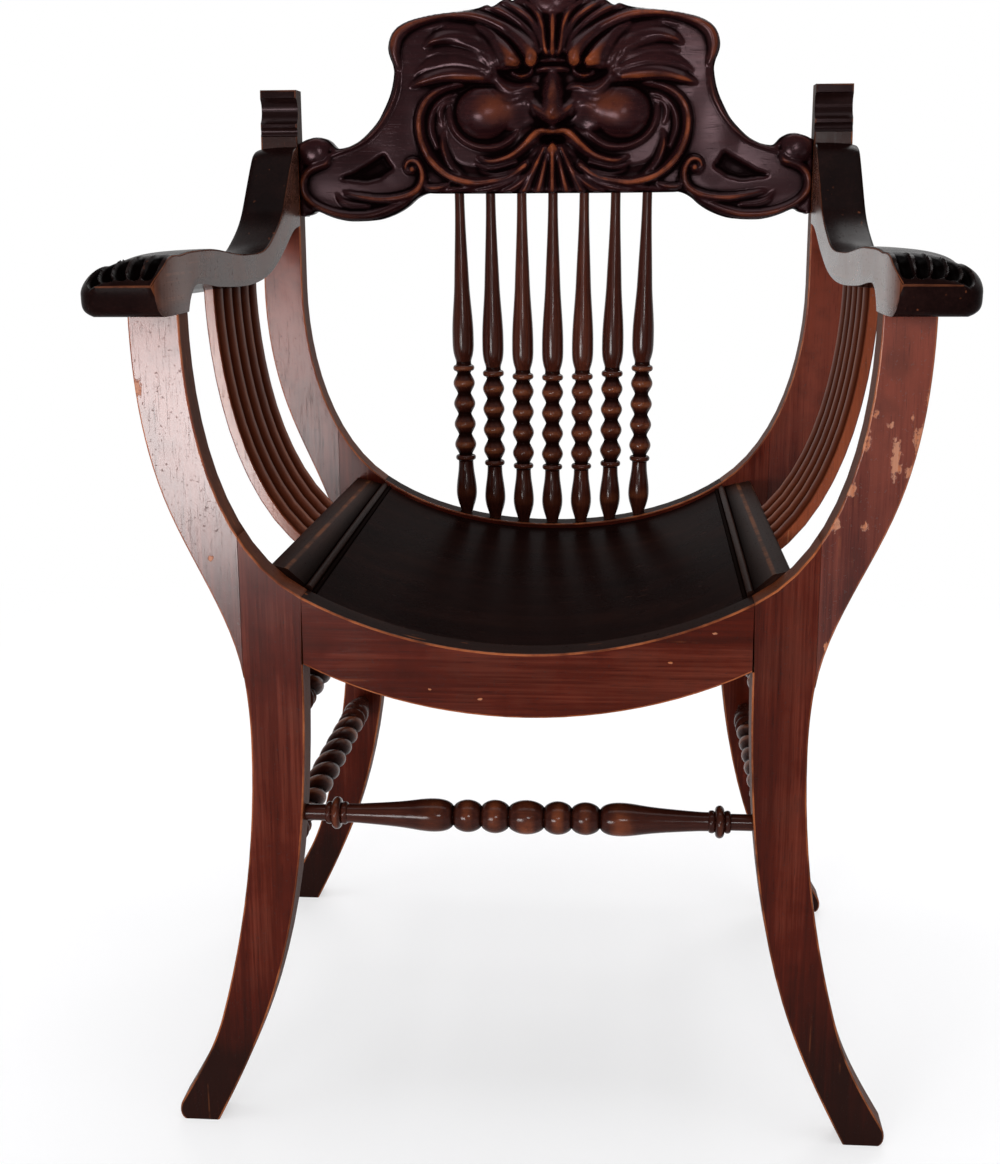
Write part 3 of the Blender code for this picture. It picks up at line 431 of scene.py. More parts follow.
def sheet(name, across, along, place, **fields):
    """A grid whose points go where place puts their (u, v), with fields of 0 to 1 for its wood."""
    piece = added(name, bpy.ops.mesh.primitive_grid_add, x_subdivisions=across, y_subdivisions=along)
    count = len(piece.data.vertices)
    flat = np.empty(3 * count)
    piece.data.vertices.foreach_get("co", flat)
    u, v = (flat.reshape(-1, 3)[:, :2].T + 1) / 2
    piece.data.vertices.foreach_set("co", np.stack(np.broadcast_arrays(*place(u, v)), 1).ravel())
    for label, field in fields.items():
        if field is not None:
            amounts = np.clip(np.broadcast_to(field(u, v), count), 0, 1)
            layer = piece.data.attributes.new(label, "FLOAT", "POINT")
            layer.data.foreach_set("value", amounts.astype(np.float32))
    return piece


def wrapped(name, around, along, place, wear=None, soil=None):
    """A closed skin from a sheet that goes round a piece one way and along it the other."""
    piece = sheet(name, around, along, place, wear=wear, soil=soil)
    bpy.ops.object.mode_set(mode="EDIT")
    on_all(bpy.ops.mesh.remove_doubles, threshold=2e-6)
    on_all(bpy.ops.mesh.fill_holes, sides=0)
    on_all(bpy.ops.mesh.normals_make_consistent, inside=False)
    bpy.ops.object.mode_set(mode="OBJECT")
    bpy.ops.object.shade_smooth_by_angle(angle=math.radians(40))
    return piece


def bead(centre, half, core, full, steps=14, slim=0.8):
    """(radius, place) pairs over a bead: a barrel where slim is small, a ball where it is near 1.5."""
    turn = np.linspace(0, math.pi, steps)
    return [(core + (full - core) * math.sin(t) ** slim, centre + half * math.cos(t)) for t in turn]


def lathe(name, profile, around, to_world, wear=None, soil=None):
    """A turning from (radius, place along the axis) pairs; to_world takes (a, b, place) to the chair."""
    radii, places = (np.array(column) for column in zip(*profile))
    run = np.concatenate([[0], np.cumsum(np.hypot(np.diff(radii), np.diff(places)))])
    run /= run[-1]

    def spot(v):
        return np.interp(v, run, radii), np.interp(v, run, places)

    def place(u, v):
        radius, at = spot(v)
        return to_world(radius * np.cos(2 * math.pi * u), radius * np.sin(2 * math.pi * u), at)

    fields = [amount and (lambda u, v, amount=amount: amount(*spot(v))) for amount in (wear, soil)]
    return wrapped(name, around, 3 * len(profile), place, *fields)


DARK_TURNED = dict(
    deep=(0.0130, 0.0032, 0.0022), mid=(0.036, 0.0084, 0.0050), pale=(0.078, 0.0200, 0.0110),
    rubbed=(0.25, 0.072, 0.027),
)
turned_x = varnished(
    "stretcher_mahogany", "X", gloss=0.14, shine=0.10, worn=0.30, scratched=0, grime_and_shade=0.9,
    deep=(0.0085, 0.0020, 0.0014), mid=(0.024, 0.0054, 0.0032), pale=(0.056, 0.0138, 0.0074),
    rubbed=(0.26, 0.066, 0.022),
)
half_profile = [
    (0, SHOULDER + TENON), (ROD_R, SHOULDER + TENON), (ROD_R, SHOULDER - 0.019),
    *bead(SHOULDER - 0.0215, 0.0025, 0.0066, 0.0088), *bead(SHOULDER - 0.0275, 0.0036, 0.0080, 0.0126),
    *bead(SHOULDER - 0.0335, 0.0024, 0.0072, 0.0088),
]
half_profile += [(r, x) for x, r in bend([
    (SHOULDER - 0.0362, 0.0073, 180), (SHOULDER - 0.056, 0.0083, 176), (BEADS_HALF + 0.030, 0.0116, 171),
    (BEADS_HALF + 0.016, 0.0129, 180), (BEADS_HALF + 0.0055, 0.0114, 200),
    (BEADS_HALF + 0.0006, 0.0074, 245),
], 8)]
bead_half = (BEADS_HALF - MIDDLE_BEAD / 2) / 4
for number, full in ((3, 0.0126), (1, 0.0129)):
    centre = MIDDLE_BEAD / 2 + number * bead_half
    half_profile += bead(centre, bead_half - BEAD_GAP, BEAD_CORE, full, 20, 1.45)
middle_bead = bead(0, MIDDLE_BEAD / 2 - BEAD_GAP, BEAD_CORE, 0.0132, 22, 1.4)
# The second field darkens the grooves round the beads: grime and painted shade.
front_stretcher = lathe(
    "front_stretcher_turned", half_profile + middle_bead + [(r, -x) for r, x in reversed(half_profile)],
    40, lambda a, b, at: (at, FRONT_MID + a, STRETCHER_Z + b),
    lambda radius, at: (radius - 0.0112) / 0.0022,
    lambda radius, at: np.where(abs(at) < BEADS_HALF + 0.004, (0.0106 - radius) / 0.0026, 0),
)
dress(front_stretcher, turned_x, "dark_mahogany", "front_stretcher")

rear_half = [(0, SHOULDER + TENON), (ROD_R, SHOULDER + TENON)] + [(r, x) for x, r in bend([
    (SHOULDER, ROD_R, 180), (SHOULDER / 2, 0.0092, 178), (0, 0.0103, 180),
], 8)]
rear_stretcher = lathe(
    "rear_stretcher_turned", rear_half + [(r, -x) for r, x in reversed(rear_half[:-1])], 32,
    lambda a, b, at: (at, REAR_MID + a, STRETCHER_Z + b),
)
dress(rear_stretcher, turned_x, "dark_mahogany", "rear_stretcher")

# Side stretchers.  Two on each side run from the front leg to the rear one, seated in the legs' inner
# faces: dark mahogany, carved as rope twists of two strands between plain turned vases.
BAY_FRONT, BAY_BACK = -0.175, 0.223
TWIST_R, TWIST_DEEP, TWIST_PITCH, VASE_L, END_R = 0.0125, 0.0048, 0.066, 0.062, 0.0070
turned_y = varnished(
    "twist_mahogany", "Y", gloss=0.22, shine=0.03, worn=0.5, scratched=0, grime_and_shade=0.85, **DARK_TURNED
)
vase = [(-0.02, END_R)] + bend([
    (0.0, END_R, 0), (0.004, END_R, 20), (0.035, 0.0125, 5), (0.047, 0.0098, -50), (0.050, 0.0085, 0),
], 8) + [(x, r) for r, x in reversed(bead(0.0560, 0.0045, 0.0088, TWIST_R))] + [(VASE_L, 0.0086)]
bay = BAY_BACK - BAY_FRONT
for tier, z in (("lower", 0.222), ("upper", 0.335)):
    for side, hand in HANDS:
        low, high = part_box(f"{tier}_side_stretcher_{hand}")
        x = (low.x + high.x) / 2

        def twist(u, v):
            """Place along the stretcher, radius, height on a strand (0 to 1) and share of rope."""
            s = -TENON + v * (bay + 2 * TENON)
            from_end = np.minimum(s, bay - s)
            plain = level(vase, from_end)
            turn = side * 2 * math.pi * (s - VASE_L) / TWIST_PITCH
            strand = np.abs(np.cos(2 * math.pi * u - turn)) ** 0.75
            rope = TWIST_R - TWIST_DEEP * (1 - strand)
            swell = np.clip((from_end - VASE_L) / 0.008, 0, 1)
            radius = np.where(from_end < VASE_L, plain, plain * (1 - swell) + rope * swell)
            return s, radius, strand, swell

        def twist_place(u, v):
            s, radius, _, _ = twist(u, v)
            angle = 2 * math.pi * u
            return x + radius * np.cos(angle), BAY_FRONT + s, z + radius * np.sin(angle)

        def twist_wear(u, v):
            _, _, strand, swell = twist(u, v)
            return strand ** 6 * swell

        # Darker between the strands: grime and painted shade.
        def twist_soil_and_shade(u, v):
            _, _, strand, swell = twist(u, v)
            return 1.3 * (1 - strand) * swell

        node = f"{tier}_side_stretcher_{hand}"
        piece = wrapped(node + "_twist", 48, 260, twist_place, twist_wear, twist_soil_and_shade)
        dress(piece, turned_y, "dark_mahogany", node)

# Seat.  A thin dished panel of dark wood is let in between the frames and two side rails, whose inner
# slope carries a run bead.  Two plain ledger strips hold it up from below.
SEAT_T, SINK_FRONT, SINK_REAR = 0.010, 0.0015, 0.0045
RAIL_IN, RAIL_OUT, RAIL_UNDER, LEDGE = 0.162, 0.197, 0.022, 0.010
RIDGE_X, RIDGE_Z = 0.184, FRONT_DIP + 0.058
BEAD_R, FIT = 0.003, 0.0003  # FIT: the hair's breadth between pieces let in


def seat_level(x, share):
    """Height of the seat's top, from its front (0) to its rear (1)."""
    front, rear = level(front_edge, np.abs(x)) - SINK_FRONT, level(rear_edge, np.abs(x)) - SINK_REAR
    return front + share * (rear - front)


def seat_y(share):
    """Place along the bay, from the seat's front (0) to its rear (1)."""
    return BAY_FRONT + FIT + share * (bay - 2 * FIT)


def seat_place(u, v):
    x = (RAIL_IN - FIT) * (2 * u - 1)
    return x, seat_y(v), seat_level(x, v)


seat_wood = varnished(
    "seat_mahogany", "X", gloss=0.28, shine=0.0010, worn=0.4, deep=(0.0026, 0.0010, 0.0009),
    mid=(0.0062, 0.0021, 0.0017), pale=(0.014, 0.0048, 0.0034), rubbed=(0.045, 0.017, 0.011),
)
seat = sheet("seat_panel_dished", 72, 60, seat_place)
board = seat.modifiers.new("Thickness", "SOLIDIFY")
board.thickness, board.offset = SEAT_T, -1
bpy.ops.object.modifier_apply(modifier="Thickness")
bpy.ops.object.shade_smooth_by_angle(angle=math.radians(40))
dress(seat, seat_wood, "seat_brown", "seat_panel")

seat_rail_wood = varnished(
    "seat_rail_mahogany", "Y", gloss=0.36, shine=0.005, grime_and_shade=0.9, worn=0.35,
    deep=(0.0060, 0.0024, 0.0018), mid=(0.0145, 0.0056, 0.0039), pale=(0.032, 0.0125, 0.0082),
    rubbed=(0.24, 0.080, 0.030),
)


def side_rail_section(share):
    """A side rail's section in (x, z): ledge, beaded slope, arris and the shelf outside it."""
    inner = RAIL_IN - LEDGE
    under = float(seat_level(inner, share)) - SEAT_T - FIT
    edge = float(seat_level(RAIL_IN, share))
    low = float(seat_level(inner, 0)) - SEAT_T - RAIL_UNDER
    start, end = Vector((RAIL_IN, edge + 0.0015)), Vector((RIDGE_X, RIDGE_Z))
    slope = (end - start).normalized()
    lift = Vector((-slope.y, slope.x))
    centre = start + 2.1 * BEAD_R * slope - 0.25 * BEAD_R * lift
    turns = np.radians(np.linspace(-25, 205, 13))
    return np.array([
        (inner, low), (inner, under), (RAIL_IN, edge - SEAT_T - FIT), start[:],
        (start + 0.75 * BEAD_R * slope)[:],
        *((centre - BEAD_R * math.cos(t) * slope + 0.85 * BEAD_R * math.sin(t) * lift)[:] for t in turns),
        (start + 3.45 * BEAD_R * slope)[:], (end - 0.0030 * slope)[:], (end - 0.0010 * slope)[:],
        (end.x + 0.0008, end.y - 0.0001), (end.x + 0.0030, end.y + 0.0002),
        (RAIL_OUT - 0.003, RIDGE_Z + 0.002), (RAIL_OUT - 0.001, RIDGE_Z + 0.002),
        (RAIL_OUT, RIDGE_Z + 0.001), (RAIL_OUT, low),
    ])


RAIL_STEPS, RAIL_ARRIS, RAIL_QUIRKS = 24, (20, 21), (3, 4, 5, 17, 18)  # the last two are section points
rail_sections = np.array([side_rail_section(step / RAIL_STEPS) for step in range(RAIL_STEPS + 1)])
corners = rail_sections.shape[1]


def rail_corner(u):
    """Which point of a side rail's section a place round it is."""
    return np.round(u * corners).astype(int) % corners


for side, hand in HANDS:
    def side_rail_place(u, v):
        x, z = rail_sections[np.round(v * RAIL_STEPS).astype(int), rail_corner(u)].T
        return side * x, seat_y(v), z

    # The quirks beside the bead are darkened: grime and painted shade.
    rail = wrapped(
        f"seat_side_rail_{hand}_beaded", corners, RAIL_STEPS, side_rail_place,
        lambda u, v: 0.9 * np.isin(rail_corner(u), RAIL_ARRIS),
        lambda u, v: 1.0 * np.isin(rail_corner(u), RAIL_QUIRKS),
    )
    dress(rail, seat_rail_wood, "mahogany_frame", f"seat_side_rail_{hand}")

# Side slats.  Each is one wide board, steam-bent to the curve of the frames and mortised into the seat
# rail and the arm, with reeds scratched along its inner face.
SLAT_T, SLAT_W, SLAT_ARRIS = 0.011, 0.150, 0.001
SLAT_X, SLAT_GAP_LOW, SLAT_GAP_RISE, SLAT_TENON = 0.180, 0.002, 0.008, 0.022
REEDS, REED_STEPS, REED_DEEP = 5, 12, 0.0034
SLAT_BROWN = dict(
    deep=(0.085, 0.0170, 0.0070), mid=(0.170, 0.0380, 0.0145), pale=(0.250, 0.064, 0.0250),
    rubbed=(0.42, 0.140, 0.048),
)
slat_wood = varnished("slat_mahogany", "Z", gloss=0.30, shine=0.04, grime_and_shade=1.0, worn=0.5, **SLAT_BROWN)
slat_edge_wood = varnished("slat_edge_mahogany", "Z", gloss=0.20, shine=0.26, worn=0.5, **SLAT_BROWN)
back, valley, slat_half = SLAT_T / 2, REED_DEEP - SLAT_T / 2, SLAT_W / 2
section = [  # place through the board, place across it and height on a reed (0 to 1)
    (back, slat_half - SLAT_ARRIS, 0.5), (back, -slat_half + SLAT_ARRIS, 0.5),
    (back - SLAT_ARRIS, -slat_half, 0.5), (valley, -slat_half, 0.5),
]
for step in range(1, REED_STEPS * REEDS):
    hump = abs(math.sin(math.pi * step / REED_STEPS)) ** 0.9
    section.append((REED_DEEP * (1 - hump) - back, SLAT_W * (step / (REED_STEPS * REEDS) - 0.5), hump))
section = np.array(section + [(valley, slat_half, 0.5), (back - SLAT_ARRIS, slat_half, 0.5)])
path = np.array(stretch(front_edge, SLAT_X, FRONT_HALF))
heading = np.gradient(path, axis=0)
heading[-1] = (0, 1)
heading /= np.linalg.norm(heading, axis=1)[:, None]
climb = (path[:, 1] - path[0, 1]) / (path[-1, 1] - path[0, 1])
outward = np.stack([heading[:, 1], -heading[:, 0]], 1)
spine = path + (SLAT_GAP_LOW + climb * SLAT_GAP_RISE + SLAT_T / 2)[:, None] * outward
spine = np.vstack([spine, spine[-1] + (0, SLAT_TENON)])
outward = np.vstack([outward, outward[-1]])
run = np.concatenate([[0], np.cumsum(np.linalg.norm(np.diff(spine, axis=0), axis=1))])
run /= run[-1]


def slat_spot(u):
    """Which point of a slat's section a place round it is."""
    return np.round(u * len(section)).astype(int) % len(section)


def reed_top(u, v):
    return (section[slat_spot(u), 2] - 0.93) * 12


# Darker in the reeds' valleys, with grime and painted shade, and darker on the slat's outer face too.
def reed_valley(u, v):
    spot = slat_spot(u)
    reeded = (spot > 3) & (spot < len(section) - 2)
    return np.where(reeded, 0.42 + 0.72 * (1 - section[spot, 2]) ** 0.7, 0.55 * (spot < 2))


for side, hand in HANDS:
    def slat_place(u, v):
        thick, across, _ = section[slat_spot(u)].T
        x, z = (
            np.interp(v, run, at) + thick * np.interp(v, run, out) for at, out in zip(spine.T, outward.T)
        )
        return side * x, (BAY_FRONT + BAY_BACK) / 2 + across, z

    slat = wrapped(f"side_slat_{hand}_reeded", len(section), 40, slat_place, reed_top, reed_valley)
    dress(slat, slat_wood, "mahogany_frame", f"side_slat_{hand}")
    face_with(slat, slat_edge_wood, lambda face: abs(face.normal.y) > 0.9)

# Arms.  Each is sawn and carved from one thick piece: a broad nose with thumbnail flutes in front, a
# shallow saddle, and a sweep up to the post, where a dowel holds it.
NOSE_Y, FRONT_Y, ARM_END = -0.249, -0.201, BAY_BACK - FIT
TIP = ARM_Z + 0.022
arm_top = bend([
    (NOSE_Y, TIP + 0.0006, 84), (NOSE_Y + 0.020, TIP + 0.0155, 32), (FRONT_Y + 0.016, ARM_Z + 0.0425, 5),
    (FRONT_Y + 0.090, ARM_Z + 0.044, 0), (FRONT_Y + 0.210, ARM_Z + 0.037, 0),
    (BAY_BACK - 0.126, ARM_Z + 0.046, 22), (BAY_BACK - 0.069, ARM_Z + 0.078, 45),
    (BAY_BACK - 0.024, ARM_Z + 0.123, 42), (ARM_END, ARM_Z + 0.132, 8),
])
arm_under = bend([
    (NOSE_Y, TIP - 0.0006, -88), (NOSE_Y + 0.003, ARM_Z + 0.007, -76),
    (NOSE_Y + 0.011, ARM_Z + 0.0006, -12),
]) + bend([
    (NOSE_Y + 0.014, ARM_Z + FIT, 0), (BAY_FRONT + 0.001, ARM_Z + FIT, 0),
], 2) + bend([
    (BAY_FRONT + 0.002, ARM_Z + 0.002, 62), (FRONT_Y + 0.055, ARM_Z + 0.019, 0),
    (FRONT_Y + 0.120, ARM_Z + 0.014, -3), (FRONT_Y + 0.205, ARM_Z + 0.011, 0),
    (BAY_BACK - 0.139, ARM_Z + 0.017, 10), (BAY_BACK - 0.078, ARM_Z + 0.035, 20),
    (BAY_BACK - 0.030, ARM_Z + 0.054, 16), (ARM_END, ARM_Z + 0.058, 5),
])
arm_inner = bend([
    (NOSE_Y, FRONT_HALF + 0.0045, -72), (NOSE_Y + 0.009, FRONT_HALF, -6),
    (FRONT_Y + 0.040, FRONT_HALF - 0.0005, 0), (ARM_END, REAR_HALF, 0),
])
arm_outer = bend([
    (NOSE_Y, FRONT_HALF + 0.044, 70), (NOSE_Y + 0.018, FRONT_HALF + 0.0605, 12),
    (FRONT_Y + 0.020, FRONT_HALF + 0.0605, -4), (FRONT_Y + 0.260, REAR_HALF + 0.042, -3),
    (ARM_END, REAR_HALF + 0.040, 0),
])
arm_stops = np.unique(np.round(np.concatenate([
    NOSE_Y + 0.076 * np.linspace(0, 1, 84) ** 1.6, [BAY_FRONT + 0.001, BAY_FRONT + 0.002],
    np.linspace(BAY_FRONT + 0.003, ARM_END, 130),
]), 6))
ARM_POINTS = dict(inner=5, shoulder=6, dome=120, outer=10, under=9)
FLUTES, FLUTE_DEEP, FLUTE_HALF = 5, 0.0040, 0.0047
FLUTE_LOW, FLUTE_HIGH, FLUTE_FADE = 0.0040, 0.060, 0.020
FLUTE_FIRST, FLUTE_PITCH, FLUTE_GATHER = 0.115, 0.184, 0.22  # shares of the nose's width
arm_round = sum(ARM_POINTS.values())
top_first = ARM_POINTS["inner"] + 2
top_last = ARM_POINTS["inner"] + ARM_POINTS["shoulder"] + ARM_POINTS["dome"]


def arm_section(y):
    """One upright section of the right arm."""
    top, under = level(arm_top, y), level(arm_under, y)
    inner, outer = level(arm_inner, y), level(arm_outer, y)
    width, height = outer - inner, top - under
    share = min(max((y - BAY_FRONT) / bay, 0), 1)
    dome = min(0.004 + 0.018 * (1 - share) ** 2, 0.55 * height)
    ease = min(0.0018, 0.3 * height)
    droop = 0.006 * min(max(4 * share * (1.6 - 2 * share), 0), 1)
    tuck = min(0.14 * width * (1 - share) ** 4, 0.4 * height)
    points = [(inner, under + t * (height - ease)) for t in np.linspace(0, 1, ARM_POINTS["inner"])]
    for t in np.linspace(0, math.pi / 2, ARM_POINTS["shoulder"] + 1)[1:]:
        points.append((inner + ease * (1 - math.cos(t)), top - ease + ease * math.sin(t)))
    for t in np.linspace(0, 1, ARM_POINTS["dome"] + 1)[1:]:
        s = math.sin(0.5 * math.pi * t)
        fall = 1 - math.sqrt(max(0.0, 1 - s ** 2.4))
        points.append((inner + ease + s * (width - ease), top - dome * fall))
    for t in np.linspace(0, 1, ARM_POINTS["outer"] + 1)[1:]:
        points.append((outer - tuck * t ** 5, top - dome - t * (height - dome + droop)))
    for t in np.linspace(0, 1, ARM_POINTS["under"] + 1)[1:]:
        points.append((outer - tuck + t * (inner - outer + tuck), under - droop * (1 - t)))
    return points


arm_grid = np.array([[(x, y, z) for x, z in arm_section(y)] for y in arm_stops])
ridge = arm_grid[:, top_first:top_last]
across = np.cumsum(np.linalg.norm(np.diff(ridge, axis=1, prepend=ridge[:, :1]), axis=2), axis=1)
from_nose = np.cumsum(np.linalg.norm(np.diff(ridge, axis=0, prepend=ridge[:1]), axis=2), axis=0)
slope_in, slope_along = np.gradient(ridge, axis=1), np.gradient(ridge, axis=0)
facing = np.cross(slope_along, slope_in)
facing /= np.linalg.norm(facing, axis=2)[:, :, None] + 1e-12
facing *= np.sign(facing[len(arm_stops) // 2, 20, 2])
full = across[np.searchsorted(arm_stops, NOSE_Y + 0.030), -1]
carve = np.zeros(across.shape)
for flute in range(FLUTES):
    fan = 1 - FLUTE_GATHER * np.clip(from_nose / 0.05, 0, 1) * flute / (FLUTES - 1)
    centre = full * (FLUTE_FIRST + FLUTE_PITCH * flute) * fan * np.minimum(1, across[:, -1:] / full)
    beside = (across - centre) / FLUTE_HALF
    low_end = np.clip((FLUTE_LOW + FLUTE_HALF - from_nose) / FLUTE_HALF, 0, 1)
    bowl = np.sqrt(np.clip(1 - beside ** 2 - low_end ** 2, 0, 1))
    carve = np.maximum(carve, bowl * np.clip((FLUTE_HIGH - from_nose) / FLUTE_FADE, 0, 1))
arm_grid[:, top_first:top_last] -= FLUTE_DEEP * carve[:, :, None] * facing
arm_rub, arm_soil_and_shade = np.zeros(arm_grid.shape[:2]), np.zeros(arm_grid.shape[:2])
arm_rub[:, ARM_POINTS["inner"] + 1:top_first + 1] = 0.75
arm_rub[:, 1:ARM_POINTS["inner"]] = 0.65
arm_rub[:1] = 0.6
# The flutes are darkened: grime and painted shade.
arm_soil_and_shade[:, top_first:top_last] = np.clip((carve - 0.12) * 1.9, 0, 1)
arm_wood = varnished(
    "arm_mahogany", "Y", gloss=0.26, shine=0.009, grime_and_shade=0.97, worn=0.55, deep=(0.0020, 0.0009, 0.0009),
    mid=(0.0055, 0.0020, 0.0018), pale=(0.0130, 0.0048, 0.0040), rubbed=(0.20, 0.060, 0.026),
)


def on_arm(values, u, v):
    """What a grid of values along and round the arm holds at a place."""
    row = np.round(v * (len(arm_stops) - 1)).astype(int)
    return values[row, np.round(u * arm_round).astype(int) % arm_round]


for (side, hand), side_shine in zip(HANDS, (0.42, 0.055)):
    def arm_place(u, v):
        x, y, z = on_arm(arm_grid, u, v).T
        return side * x, y, z

    arm = wrapped(
        f"arm_{hand}_carved", arm_round, len(arm_stops) - 1, arm_place,
        lambda u, v: on_arm(arm_rub, u, v), lambda u, v: on_arm(arm_soil_and_shade, u, v),
    )
    dress(arm, arm_wood, "mahogany_frame", f"arm_{hand}")
    arm_side_wood = varnished(
        f"arm_{hand}_side_mahogany", "Y", gloss=0.26, shine=side_shine, worn=0.35,
        deep=(0.022, 0.0080, 0.0058), mid=(0.048, 0.0190, 0.0140), pale=(0.085, 0.036, 0.0270),
        rubbed=(0.20, 0.075, 0.042),
    )
    face_with(arm, arm_side_wood, lambda face: (
        side * face.normal.x < -0.8 and side * face.center.x < FRONT_HALF + 0.005
    ))

# Back spindles.  Seven lathe-turned spindles of dark mahogany stand in holes in the curved rear rail and
# the crest: a long taper over a ring, four balls, a ring and a vase foot.
SPINDLE_R, NECK_R, COVE_R, TOP_R, FOOT_R = 0.0106, 0.0078, 0.0066, 0.0047, 0.0056
SPINDLES, BALLS, BALL_FIRST, BALL_PITCH, SPINDLE_TENON = 7, 4, 0.069, 0.0205, 0.010
FOOT_PITCH, HEAD_PITCH = 0.0288, 0.0303


def cove_ball(centre, half, steps=22):
    """(radius, place) pairs over a ball that runs out into a cove on either side."""
    shares = np.linspace(0, 1, steps)
    rise = SPINDLE_R + 0.0001 - COVE_R
    return [(COVE_R + rise * math.sin(math.pi * s) ** 1.5, centre + half * (1 - 2 * s)) for s in shares]


CREST_Z = 0.7375
turned_z = varnished(
    "spindle_mahogany", "Z", gloss=0.16, shine=0.13, worn=0.36, scratched=0, grime_and_shade=0.9, **DARK_TURNED
)
for number in range(SPINDLES):
    step = number - SPINDLES // 2
    foot_x, head_x = step * FOOT_PITCH, step * HEAD_PITCH
    foot = Vector((foot_x, REAR_MID, float(level(rear_edge, abs(foot_x)))))
    head = Vector((head_x, REAR_MID, CREST_Z))
    axis = (head - foot).normalized()
    side_axis = Vector((axis.z, 0, -axis.x))
    length = (head - foot).length
    profile = [(0, length + SPINDLE_TENON), (TOP_R, length + SPINDLE_TENON)]
    profile += [(r, z) for z, r in bend([
        (length - 0.001, TOP_R, 180), (length - 0.085, 0.0074, 178), (0.177, SPINDLE_R, 180),
        (0.157, 0.0090, 196), (0.1505, NECK_R - 0.0004, 180),
    ], 12)]
    profile += bead(0.1455, 0.0030, NECK_R, SPINDLE_R)
    for ball in reversed(range(BALLS)):
        profile += cove_ball(BALL_FIRST + BALL_PITCH * ball, BALL_PITCH / 2)
    profile += bead(0.0558, 0.0026, NECK_R, SPINDLE_R - 0.0005)
    profile += [(r, z) for z, r in bend([
        (0.0528, 0.0074, 180), (0.040, 0.0083, 172), (0.021, 0.0103, 180), (0.007, 0.0075, 200),
        (0.001, FOOT_R, 200),
    ], 8)]
    profile += [(FOOT_R, -SPINDLE_TENON), (0, -SPINDLE_TENON)]

    def on_axis(a, b, at):
        x, z = (foot[i] + axis[i] * at + side_axis[i] * a for i in (0, 2))
        return x, foot.y + b, z

    # The second field darkens the coves between the balls: grime and painted shade.
    spindle = lathe(
        f"spindle_{number + 1}_turned", profile, 32, on_axis,
        lambda radius, at: np.where(at < 0.15, (radius - 0.0094) / 0.0014, 0),
        lambda radius, at: np.where((at > 0.052) & (at < 0.152), (0.0094 - radius) / 0.0022, 0),
    )
    dress(spindle, turned_z, "dark_mahogany", f"spindle_{number + 1}")

# Crest rail.  One board between the posts, sawn to scrolled shoulders and carved in relief with a
# puffing mask among leaf scrolls, a common ornament of its day.  It is stained dark and polished, and
# the high places are rubbed to bare red wood.
CREST_FACE, CREST_BACK = REAR_MID - 0.011, REAR_MID + 0.011
CREST_LOW, CREST_TALL, CREST_WIDE = 711, 211, 246  # mm, as all of the carving's sizes are
crest_half = [
    (0, 737.5), (60, 737.5), (113, 737.8), (119.5, 738.2), (126, 736.5), (133, 732.5), (140, 726.5),
    (148.5, 721), (158.5, 716.5), (168.5, 713.5), (179.5, 712.2), (190, 711.8), (199, 712.2),
    (209, 714.2), (217.5, 717), (229, 721.5), (235, 719), (240, 717.6), (245.7, 718.4), (245.7, 783.6),
    (243, 786), (239, 788), (233, 790), (227, 791), (221, 790.2), (216, 787.6), (212.5, 784),
    (209.5, 781.2), (206, 780.4), (200, 781.2), (194, 783), (185, 788), (176, 796), (167.5, 805.5),
    (161.5, 816), (156.5, 826.5), (153.2, 837), (151.2, 849.5), (152.3, 857), (154.6, 863),
    (156.2, 869), (156, 875), (153.7, 882), (149.5, 888), (142.5, 893), (133, 896.8), (121, 899.6),
    (109.5, 901.6), (95.5, 903.2), (82.5, 904.6), (71, 906.6), (62, 909.2), (57, 907.8), (49, 912.5),
    (42, 915.4), (38, 912.8), (30, 917.2), (21.5, 919.4), (18, 917.4), (13, 920), (7, 921.2),
    (0, 921.5),
]
